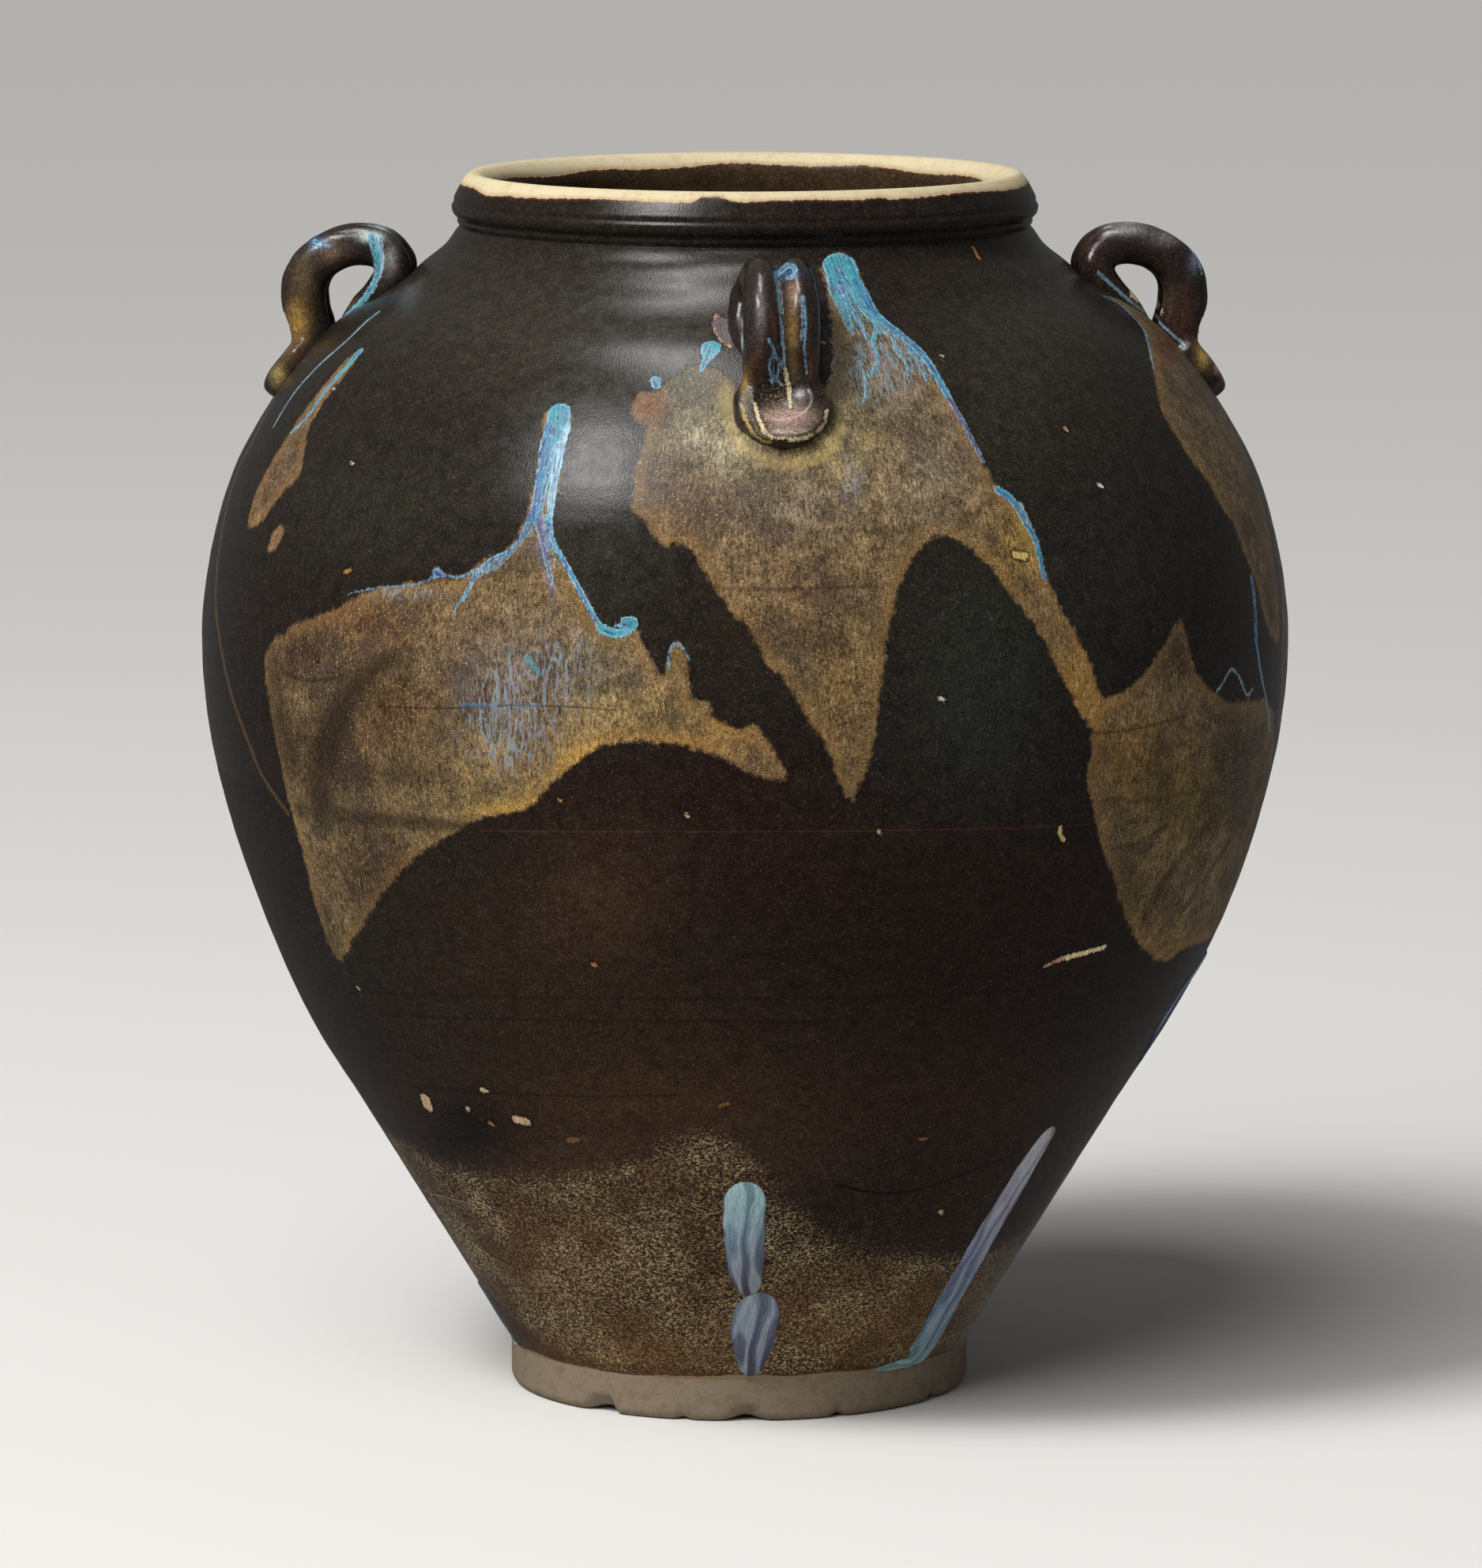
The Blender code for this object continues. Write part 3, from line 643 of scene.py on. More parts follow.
SPLASH_TONES: tuple[Tone, ...] = (
    Tone(860, 480, 80, 60, "#3d3d30", 0.95), Tone(880, 560, 70, 60, "#6a6555"),
    Tone(870, 640, 70, 70, "#5f4a35"), Tone(1000, 640, 110, 60, "#6c5f50"),
    Tone(1080, 480, 60, 90, "#5b5340"), Tone(1180, 580, 70, 90, "#7c6e5b", 0.75),
    Tone(1060, 560, 60, 40, "#8a7c55", 0.85), Tone(930, 570, 45, 40, "#8f8468"),
    Tone(1000, 740, 90, 60, "#634e38"), Tone(1060, 880, 40, 110, "#66502f"),
    Tone(1290, 690, 40, 60, "#93763f"), Tone(1370, 870, 40, 90, "#8a6c3c", 0.9),
    Tone(470, 790, 80, 34, "#5e4029", 0.85), Tone(790, 890, 60, 34, "#8c7243", 0.75),
    Tone(380, 830, 60, 50, "#3c2b20", 0.9), Tone(410, 940, 70, 70, "#2e2016", 0.9),
    Tone(500, 900, 90, 80, "#46321f", 0.9), Tone(640, 960, 120, 60, "#7c6540"),
    Tone(740, 960, 60, 30, "#9c7d44", 0.85), Tone(650, 1020, 60, 20, "#a78a4a"),
    Tone(900, 935, 100, 25, "#93743f", 0.85), Tone(470, 1100, 60, 70, "#473421", 0.85),
    Tone(420, 1190, 20, 40, "#4e4229"), Tone(640, 830, 90, 60, "#645447"),
    Tone(760, 860, 70, 50, "#776a50", 0.7), Tone(1430, 960, 60, 60, "#6e5228", 0.85),
    Tone(1500, 1010, 80, 80, "#54441f", 0.85), Tone(1440, 1130, 50, 60, "#4b3c22"),
    Tone(1490, 1190, 50, 30, "#70592c"), Tone(1495, 820, 30, 50, "#3f3426"),
    Tone(1560, 960, 40, 90, "#33291a"), Tone(1510, 500, 40, 60, "#52432f"),
    Tone(1570, 640, 30, 110, "#5c4c38"), Tone(1480, 440, 16, 30, "#6b3520", 0.75),
    Tone(345, 600, 40, 60, "#604a38", 0.85), Tone(290, 720, 40, 200, "#6b5334", 0.85),
    Tone(820, 515, 24, 24, "#6b4326", 0.95),
)
BACK_SPLASHES: tuple[Pairs, ...] = (
    ((104, 346), (112, 342), (118, 328), (123, 315), (129, 300), (134, 286), (141, 272), (144, 255),
     (142, 240), (146, 225), (143, 212), (138, 204), (134, 216), (130, 222), (126, 206), (123, 188),
     (119, 174), (114, 165), (110, 180), (107, 200), (101, 214), (96, 206), (90, 200), (85, 204),
     (80, 216), (78, 240), (82, 262), (86, 285), (92, 305), (98, 328)),
    ((168, 340), (174, 336), (179, 322), (184, 310), (192, 300), (199, 290), (207, 282), (213, 268),
     (215, 250), (211, 236), (206, 226), (200, 222), (195, 232), (190, 246), (185, 250), (181, 238),
     (178, 220), (174, 200), (169, 184), (164, 172), (161, 186), (158, 206), (153, 222), (150, 240),
     (149, 262), (152, 285), (157, 304), (162, 322)),
    ((-113, 346), (-106, 334), (-101, 318), (-97, 300), (-95, 280), (-97, 262), (-95, 244),
     (-98, 228), (-104, 222), (-108, 206), (-112, 190), (-116, 178), (-119, 192), (-122, 212),
     (-128, 226), (-134, 236), (-140, 250), (-143, 266), (-142, 285), (-137, 300), (-131, 316),
     (-124, 332)),
)
BACK_RUNS: tuple[Run, ...] = (
    Run(((108, 353), (108, 348)), 4.2, 3.8, Tint.TURQUOISE),
    Run(((109, 346), (113, 339), (118, 328), (123, 315), (129, 300), (134, 286)), 2.0, 0.6, Tint.SKY),
    Run(((107, 345), (105, 334), (107, 325), (104, 313), (105, 300)), 1.5, 0.5, Tint.TURQUOISE),
    Run(((109, 344), (112, 330), (110, 319), (114, 306)), 1.1, 0.4, Tint.LILAC, 0.8),
    Run(((169, 348), (169, 343)), 3.6, 3.2, Tint.TURQUOISE),
    Run(((170, 341), (175, 335), (179, 322), (185, 310), (193, 299), (200, 289)), 1.8, 0.6, Tint.SKY),
    Run(((168, 340), (164, 330), (165, 319), (160, 309), (157, 299)), 1.3, 0.5, Tint.SKY),
    Run(((169, 338), (171, 325), (169, 313), (172, 302)), 1.0, 0.4, Tint.LILAC, 0.8),
    Run(((-112, 354), (-112, 349)), 3.8, 3.4, Tint.TURQUOISE),
    Run(((-113, 346), (-119, 338), (-125, 330), (-132, 315), (-137, 299)), 1.8, 0.6, Tint.SKY),
    Run(((-111, 345), (-106, 335), (-104, 324), (-99, 312)), 1.4, 0.5, Tint.TURQUOISE),
)
BACK_RAIN: Rows = ((122, 262, 9, 34), (176, 270, 10, 30), (-116, 268, 9, 32))


def splash_outlines(view: PhotoView, outline: JarOutline) -> list[Array]:
    """Puts the outline of every splash on the jar.

    Args:
        view: The photograph's camera.
        outline: The jar's outline.

    Returns:
        Closed lines of angles round and heights.
    """
    seen = [
        view.seen(pixels, outline)
        for pixels in (
            LEFT_SPLASH, MIDDLE_SPLASH, RIGHT_SPLASH, RIGHT_SHOULDER_SPLASH, LEFT_SHOULDER_SPLASH,
            LEFT_SPOT, RED_SPOT,
        )
    ]
    seen += [round_side(loop) for loop in BACK_SPLASHES]
    return [smooth_through(places, 3, True) for places in seen]


def closest(x: Array, y: Array) -> tuple[Array, Array, Array, Array]:
    """Finds the way from each point to the nearest place on a line.

    Args:
        x: How far across from each point the line's points lie, one row for each point.
        y: How far up from it they lie.

    Returns:
        The way, the share of the line up to that place, how far aside of the line the point
        lies, and whether a closed line holds it.
    """
    ax, ay, ex, ey = x[:, :-1], y[:, :-1], np.diff(x), np.diff(y)
    size = np.maximum(ex * ex + ey * ey, 1e-12)
    t = np.clip(-(ax * ex + ay * ey) / size, 0.0, 1.0)
    dx, dy = ax + t * ex, ay + t * ey
    best = np.argmin(dx * dx + dy * dy, axis=1)
    rows = np.arange(len(x))
    way = np.stack([dx[rows, best], dy[rows, best]], axis=1)
    share = (best + t[rows, best]) / ex.shape[1]
    aside = (ex[rows, best] * way[:, 1] - ey[rows, best] * way[:, 0]) / np.sqrt(size[rows, best])
    rising = np.where(np.abs(ey) > 1e-12, ey, 1e-12)
    crossed = ((ay > 0) != (y[:, 1:] > 0)) & (ax - ay * ex / rising > 0)
    return way, share, aside, crossed.sum(axis=1) % 2 == 1


@dataclass
class Skin:
    """The points of a mesh in the jar's own terms."""

    angle: Array
    arc: Array
    height: Array
    radius: Array
    pixel: Array


@dataclass
class Strokes:
    """The lines of glaze nearest to a mesh's points, in millimetres.

    A point knows its way to the line and the line's half width there, how far it lies inside
    the line, where it lies aside of the line and along it, and the line's colour.
    """

    way: Array
    reach: Array
    thread: Array
    tint: Array

    @classmethod
    def none(cls, count: int) -> "Strokes":
        """Starts with no line near any of a count of points."""
        colour = np.tile(np.array(linear(Tint.SKY.value)), (count, 1))
        return cls(np.tile([0.0, 0.0, 1.0], (count, 1)), np.full(count, -FAR), np.zeros((count, 3)), colour)

    def lay(self, run: Run, at: Array, way: Array, share: Array, aside: Array, length: float) -> None:
        """Keeps a line at the points that it reaches further over than the lines before it.

        Args:
            run: The line's widths and colour.
            at: Which points it may reach.
            way: Their ways to it.
            share: The shares of its length there.
            aside: How far aside of it they lie.
            length: Its length.
        """
        half = run.start + (run.end - run.start) * share
        inside = half - np.linalg.norm(way, axis=1)
        better = inside > self.reach[at]
        chosen = at[better]
        self.reach[chosen] = inside[better]
        self.way[chosen] = np.column_stack([way, half])[better]
        self.thread[chosen, :2] = np.column_stack([aside, share * length])[better]
        self.tint[chosen] = run.paint()

    def store(self, mesh: Mesh, name: str, kept: Array | bool = True) -> None:
        """Stores the strokes on a mesh, by a first word for their names, at the points kept."""
        self.reach = np.where(kept, self.reach, -FAR)
        store(mesh, **{f"{name}_{part.name}": getattr(self, part.name) for part in fields(self)})


def rippled(angle: Array, waves: Rows) -> Array:
    """Adds up waves round the jar, each given by its count, its shift and its height."""
    return sum(high * np.sin(count * angle + shift) for count, shift, high in waves)


def wrapped(angle: Array) -> Array:
    """Brings angles to within half a turn of the front."""
    return (angle + math.pi) % math.tau - math.pi


@dataclass
class GlazeMap:
    """Which glaze lies where on the jar, and how far each point is from its edge."""

    outline: JarOutline
    view: PhotoView
    chunk: int = 6000
    least_radius: float = 80.0 * MM
    lug_near: float = 0.95
    cloud_fall: float = 1.4
    rain_fall: float = 1.6

    def skin(self, points: Array) -> Skin:
        """Reads points in the jar's own terms.

        Args:
            points: The points, in metres.

        Returns:
            Their angles, distances along the outline, heights, radii and pixels.
        """
        view, shape, height = self.view, self.outline, points[:, 2]
        angle = np.arctan2(points[:, 0], -points[:, 1])
        radius = np.hypot(points[:, 0], points[:, 1])
        folded = np.where(np.abs(angle) > math.pi / 2, np.sign(angle) * math.pi - angle, angle)
        across = radius * np.sin(folded) + shape.lean_at(height)
        back = view.distance - radius * np.cos(folded)
        sine, cosine = math.sin(view.tilt), math.cos(view.tilt)
        above = height - view.above
        scale = view.focal / (back * cosine - above * sine)
        up = back * sine + above * cosine
        pixel = np.stack([view.axis_x + across * scale, view.middle_y - up * scale], axis=1)
        arc = shape.arc_at(height) + np.minimum(height - shape.foot_height, 0.0)
        arc += np.maximum(height - shape.lip[0][1], 0.0)
        return Skin(angle, arc, height, radius, pixel)

    def nearest(self, skin: Skin, line: Array) -> tuple[Array, tuple[Array, ...], float]:
        """Finds each point's way along the surface to a line.

        Args:
            skin: The points.
            line: The line, as angles round and heights.

        Returns:
            Which points are near enough to matter, what `closest` finds for them in
            millimetres, and the line's length.
        """
        arcs = self.outline.arc_at(line[:, 1])
        centre = line[:, 0].mean()
        around = line[:, 0] - centre
        angle = wrapped(skin.angle - centre)
        margin = FAR * MM
        wide = margin / self.least_radius
        near = np.flatnonzero(
            (angle > around.min() - wide) & (angle < around.max() + wide)
            & (skin.arc > arcs.min() - margin) & (skin.arc < arcs.max() + margin)
        )
        found = [
            closest(
                (around[None, :] - angle[part, None]) * skin.radius[part, None] / MM,
                (arcs[None, :] - skin.arc[part, None]) / MM,
            )
            for part in np.array_split(near, len(near) // self.chunk + 1)
        ]
        radius = skin.radius[near].mean() if len(near) else 0.0
        length = np.hypot(np.diff(around) * radius, np.diff(arcs)).sum() / MM
        return near, tuple(np.concatenate(values) for values in zip(*found)), length

    def depth(self, skin: Skin, loops: Sequence[Array]) -> Array:
        """Measures how deep each point lies inside any of the outlines, in millimetres.

        Args:
            skin: The points.
            loops: Closed outlines, as angles round and heights.

        Returns:
            The depth, negative outside.
        """
        depth = np.full(len(skin.angle), -FAR)
        for loop in loops:
            near, (way, _, _, inside), _ = self.nearest(skin, loop)
            distance = np.linalg.norm(way, axis=1)
            depth[near] = np.maximum(depth[near], np.where(inside, distance, -distance))
        return depth

    def laid(self, skin: Skin, lines: Sequence[tuple[Array, Run]]) -> Strokes:
        """Lays lines of glaze on the surface.

        Args:
            skin: The points.
            lines: Each line's angles and heights, and its widths and colour.

        Returns:
            The strokes.
        """
        strokes = Strokes.none(len(skin.angle))
        for places, run in lines:
            line = smooth_through(places, 5) if len(places) > 2 else places
            near, (way, share, aside, _), length = self.nearest(skin, line)
            strokes.lay(run, near, way, share, aside, length)
        return strokes

    def strokes(self, skin: Skin, lines: Sequence[Run]) -> Strokes:
        """Lays thin lines on a lug by where they show in the photograph.

        Args:
            skin: The points.
            lines: The lines.

        Returns:
            The strokes.
        """
        scale = self.view.distance / self.view.focal / MM * self.lug_near
        strokes = Strokes.none(len(skin.angle))
        for run in lines:
            line = smooth_through(np.array(run.line, float), 4)
            gap = (line[None] - skin.pixel[:, None]) * scale
            way, share, aside, _ = closest(gap[..., 0], gap[..., 1])
            strokes.lay(run, np.arange(len(way)), way, share, aside, lengths_along(line)[-1] * scale)
        return strokes

    def toned(self, skin: Skin, base: str, tones: Sequence[Tone]) -> Array:
        """Paints soft clouds of colour over a base.

        Args:
            skin: The points.
            base: The colour under the clouds.
            tones: The clouds.

        Returns:
            The colour at each point.
        """
        colour = np.tile(np.array(linear(base)), (len(skin.angle), 1))
        for tone in tones:
            away = (skin.pixel - (tone.across, tone.down)) / (tone.wide, tone.tall)
            share = tone.strength * np.exp(-(away ** 2).sum(axis=1) * self.cloud_fall)
            colour += (np.array(linear(tone.colour)) - colour) * share[:, None]
        return colour

    def rain(self, skin: Skin) -> Array:
        """Finds how thickly the pale blue streaks fall.

        Args:
            skin: The points.

        Returns:
            A share for each.
        """
        share = np.zeros(len(skin.angle))
        front = np.abs(skin.angle) < math.pi / 2
        for across, down, wide, tall, most in RAIN:
            away = (skin.pixel - (across, down)) / (wide, tall)
            share = np.maximum(share, most * front * np.exp(-(away ** 2).sum(axis=1) * self.rain_fall))
        for turn, height, wide, tall in BACK_RAIN:
            across = wrapped(skin.angle - math.radians(turn)) / math.radians(wide)
            up = (skin.height / MM - height) / tall
            share = np.maximum(share, np.exp(-(across ** 2 + up ** 2) * self.rain_fall))
        return share


def store(mesh: Mesh, **attributes: Array) -> None:
    """Stores attributes on a mesh's points.

    Args:
        mesh: The mesh.
        attributes: By name, one number, three or four for each point.
    """
    for name, values in attributes.items():
        kind, key = {1: ("FLOAT", "value"), 3: ("FLOAT_VECTOR", "vector"), 4: ("FLOAT_COLOR", "color")}[
            values.shape[1] if values.ndim > 1 else 1
        ]
        attribute = mesh.attributes.new(name, kind, "POINT")
        attribute.data.foreach_set(key, np.ascontiguousarray(values, np.float32).ravel())


def places_of(mesh: Mesh) -> Array:
    """Reads a mesh's points."""
    flat = np.empty(len(mesh.vertices) * 3, np.float32)
    mesh.vertices.foreach_get("co", flat)
    return flat.reshape(-1, 3).astype(float)


def place_all(mesh: Mesh, points: Array) -> None:
    """Moves a mesh's points."""
    mesh.vertices.foreach_set("co", np.ascontiguousarray(points, np.float32).ravel())
    mesh.update()


# Geometry Nodes: the turned bodies and the rolled strands


def open_tree(name: str, inputs: Sequence[tuple[str, str]]) -> tuple[GeometryNodeTree, Node, Adder]:
    """Starts a tree with its named inputs.

    Args:
        name: The tree's name.
        inputs: Names and kinds.

    Returns:
        The tree, its input node and what adds a node to it.
    """
    tree = bpy.data.node_groups.new(name, "GeometryNodeTree")
    for label, kind in (("Geometry", "Geometry"), *inputs, ("Material", "Material")):
        tree.interface.new_socket(name=label, in_out="INPUT", socket_type="NodeSocket" + kind)
    tree.interface.new_socket(name="Geometry", in_out="OUTPUT", socket_type="NodeSocketGeometry")
    return tree, add_node(tree, "NodeGroupInput"), partial(add_node, tree)


def close_tree(add: Adder, source: Node, shape: Node) -> None:
    """Ends a tree with real, smooth faces in its material.

    Args:
        add: Adds a node.
        source: The tree's input node.
        shape: The node to end on.
    """
    smooth = add("GeometryNodeSetShadeSmooth", (shape,))
    real = add("GeometryNodeRealizeInstances", (smooth,))
    dressed = add("GeometryNodeSetMaterial", {"Geometry": real, "Material": source.outputs["Material"]})
    add("NodeGroupOutput", (dressed,))


def turned_tree() -> GeometryNodeTree:
    """Builds the nodes that turn an outline's points about Z into a closed body.

    The outline's points carry a radius, a share of the ridges and a height. The throwing ridges
    are noise drawn out round the jar. They only take clay away, so that the body stays inside
    its outline, and the columns crowd towards the front.

    Returns:
        The node tree.
    """
    tree, source, add = open_tree("turned_body", (
        ("Turns", "Int"), ("Rows", "Int"), ("Crowding", "Float"), ("Ridge Depth", "Float"),
        ("Ridge Spacing", "Float"), ("Seed", "Float"),
    ))
    given = source.outputs
    around = add(WHOLE, (given["Turns"], 1), ADD)
    grid = add("GeometryNodeMeshGrid", {"Vertices X": around, "Vertices Y": given["Rows"]})
    index = add("GeometryNodeInputIndex")
    column = add(WHOLE, (index, given["Rows"]), {"operation": "DIVIDE_FLOOR"})
    row = add(WHOLE, (index, given["Rows"]), {"operation": "MODULO"})
    share = add(MATHS, (column, given["Turns"]), DIVIDE)
    even = add(MATHS, (share, math.tau), MULTIPLY)
    swing = add(MATHS, (even,), {"operation": "SINE"})
    crowded = add(MATHS, (swing, given["Crowding"], even), FOLLOW)
    angle = add(MATHS, (crowded, math.pi / 2), ADD)
    place = add("GeometryNodeInputPosition")
    sample = add(
        "GeometryNodeSampleIndex", {"Geometry": given["Geometry"], "Value": place, "Index": row},
        {"data_type": "FLOAT_VECTOR"},
    )
    radius, ridged, level = add(PARTS, (sample,)).outputs
    across = add(MATHS, (angle,), {"operation": "COSINE"})
    along = add(MATHS, (angle,), {"operation": "SINE"})
    outward = add(JOINED, (across, along))
    upward = add(JOINED, {2: level})
    spun = add(VECTORS, {0: outward, "Scale": radius}, SCALED)
    true = add(VECTORS, (spun, upward), ADD)
    rise = add(MATHS, (1.0, given["Ridge Spacing"]), DIVIDE)
    drift = add(MATHS, (rise, 0.07), MULTIPLY)
    stretch = add(JOINED, (drift, drift, rise))
    drawn = add(VECTORS, (true, stretch), MULTIPLY)
    noise = add(NOISE, {"Vector": drawn, "W": given["Seed"], "Scale": 1.0, "Detail": 2.0}, SEEDED)
    dip = add(MATHS, (noise, given["Ridge Depth"]), MULTIPLY)
    gated = add(MATHS, (dip, ridged), MULTIPLY)
    reach = add(MATHS, (radius, gated), SUBTRACT)
    pressed = add(VECTORS, {0: outward, "Scale": reach}, SCALED)
    final = add(VECTORS, (pressed, upward), ADD)
    moved = add("GeometryNodeSetPosition", {"Geometry": grid, "Position": final})
    merged = add("GeometryNodeMergeByDistance", {"Geometry": moved, "Distance": 2e-6})
    close_tree(add, source, merged)
    return tree


def strand_tree() -> GeometryNodeTree:
    """Builds the nodes that sweep a rolled strand of clay along its path.

    The path's points carry their girth, the tube is squeezed narrower than it is thick, and
    noise leaves the fingers' unevenness on it.

    Returns:
        The node tree.
    """
    tree, source, add = open_tree("rolled_strand", (
        ("Thickness", "Float"), ("Squeeze", "Float"), ("Sides", "Int"), ("Unevenness", "Float"),
        ("Seed", "Float"),
    ))
    given = source.outputs
    girth = add("GeometryNodeInputNamedAttribute", {"Name": "girth"}, {"data_type": "FLOAT"})
    curve = add("GeometryNodeMeshToCurve", (given["Geometry"],))
    half = add(MATHS, (given["Thickness"], 0.5), MULTIPLY)
    ring = add("GeometryNodeCurvePrimitiveCircle", {"Resolution": given["Sides"], "Radius": half})
    tube = add("GeometryNodeCurveToMesh", {
        "Curve": curve, "Profile Curve": ring.outputs["Curve"], "Scale": girth, "Fill Caps": True,
    })
    place = add("GeometryNodeInputPosition")
    noise = add(NOISE, {"Vector": place, "W": given["Seed"], "Scale": 140.0, "Detail": 1.0}, SEEDED)
    swing = add(MATHS, (noise, 0.5), SUBTRACT)
    sway = add(MATHS, (swing, given["Unevenness"]), MULTIPLY)
    normal = add("GeometryNodeInputNormal")
    shove = add(VECTORS, {0: normal, "Scale": sway}, SCALED)
    uneven = add("GeometryNodeSetPosition", {"Geometry": tube, "Offset": shove})
    narrow = add(JOINED, (1.0, given["Squeeze"], 1.0))
    pressed = add("GeometryNodeTransform", {"Geometry": uneven, "Scale": narrow})
    close_tree(add, source, pressed)
    return tree


def linked(name: str, data: ID) -> Object:
    """Puts an object in the scene.

    Args:
        name: Its name.
        data: Its data.

    Returns:
        The object.
    """
    thing = bpy.data.objects.new(name, data)
    bpy.context.scene.collection.objects.link(thing)
    return thing


def baked(carrier: Object, name: str) -> Mesh:
    """Turns an object with its modifiers into a plain mesh, and removes it.

    Args:
        carrier: The object.
        name: The mesh's name.

    Returns:
        The mesh.
    """
    bpy.context.view_layer.update()
    graph = bpy.context.evaluated_depsgraph_get()
    result = bpy.data.meshes.new_from_object(carrier.evaluated_get(graph))
    result.name = name
    bpy.data.meshes.remove(carrier.data)
    return result


def grown(name: str, line: Array, girth: Array | None, tree: GeometryNodeTree, values: dict) -> Mesh:
    """Runs a Geometry Nodes tree on a row of points and keeps the result as a plain mesh.

    Args:
        name: The result's name.
        line: The points.
        girth: How thick the clay is at each, if the tree asks for it.
        tree: The node tree.
        values: The tree's inputs by name.

    Returns:
        The result.
    """
    mesh = bpy.data.meshes.new(name + "_line")
    mesh.from_pydata(line.tolist(), [(i, i + 1) for i in range(len(line) - 1)], [])
    if girth is not None:
        store(mesh, girth=girth)
    carrier = linked(name + "_carrier", mesh)
    modifier = carrier.modifiers.new("grow", "NODES")
    modifier.node_group = tree
    for item in tree.interface.items_tree:
        if item.in_out == "INPUT" and item.name in values:
            modifier[item.identifier] = values[item.name]
    return baked(carrier, name)


def show(name: str, mesh: Mesh, slot: str, material: Material, nodes: Sequence[str] = ()) -> None:
    """Puts a finished mesh in the scene as a piece of the jar, and reports it.

    Args:
        name: The piece's name.
        mesh: Its mesh, in place.
        slot: The material slot, which the log names.
        material: Its finish.
        nodes: The solids that it stands for.
    """
    mesh.materials.clear()
    mesh.materials.append(material)
    piece = linked(name, mesh)
    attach(piece, "root")
    if nodes:
        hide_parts(*nodes)
    mesh.calc_loop_triangles()
    LOG.info("%s: %d triangles, slot %s", name, len(mesh.loop_triangles), slot)


# The finishes


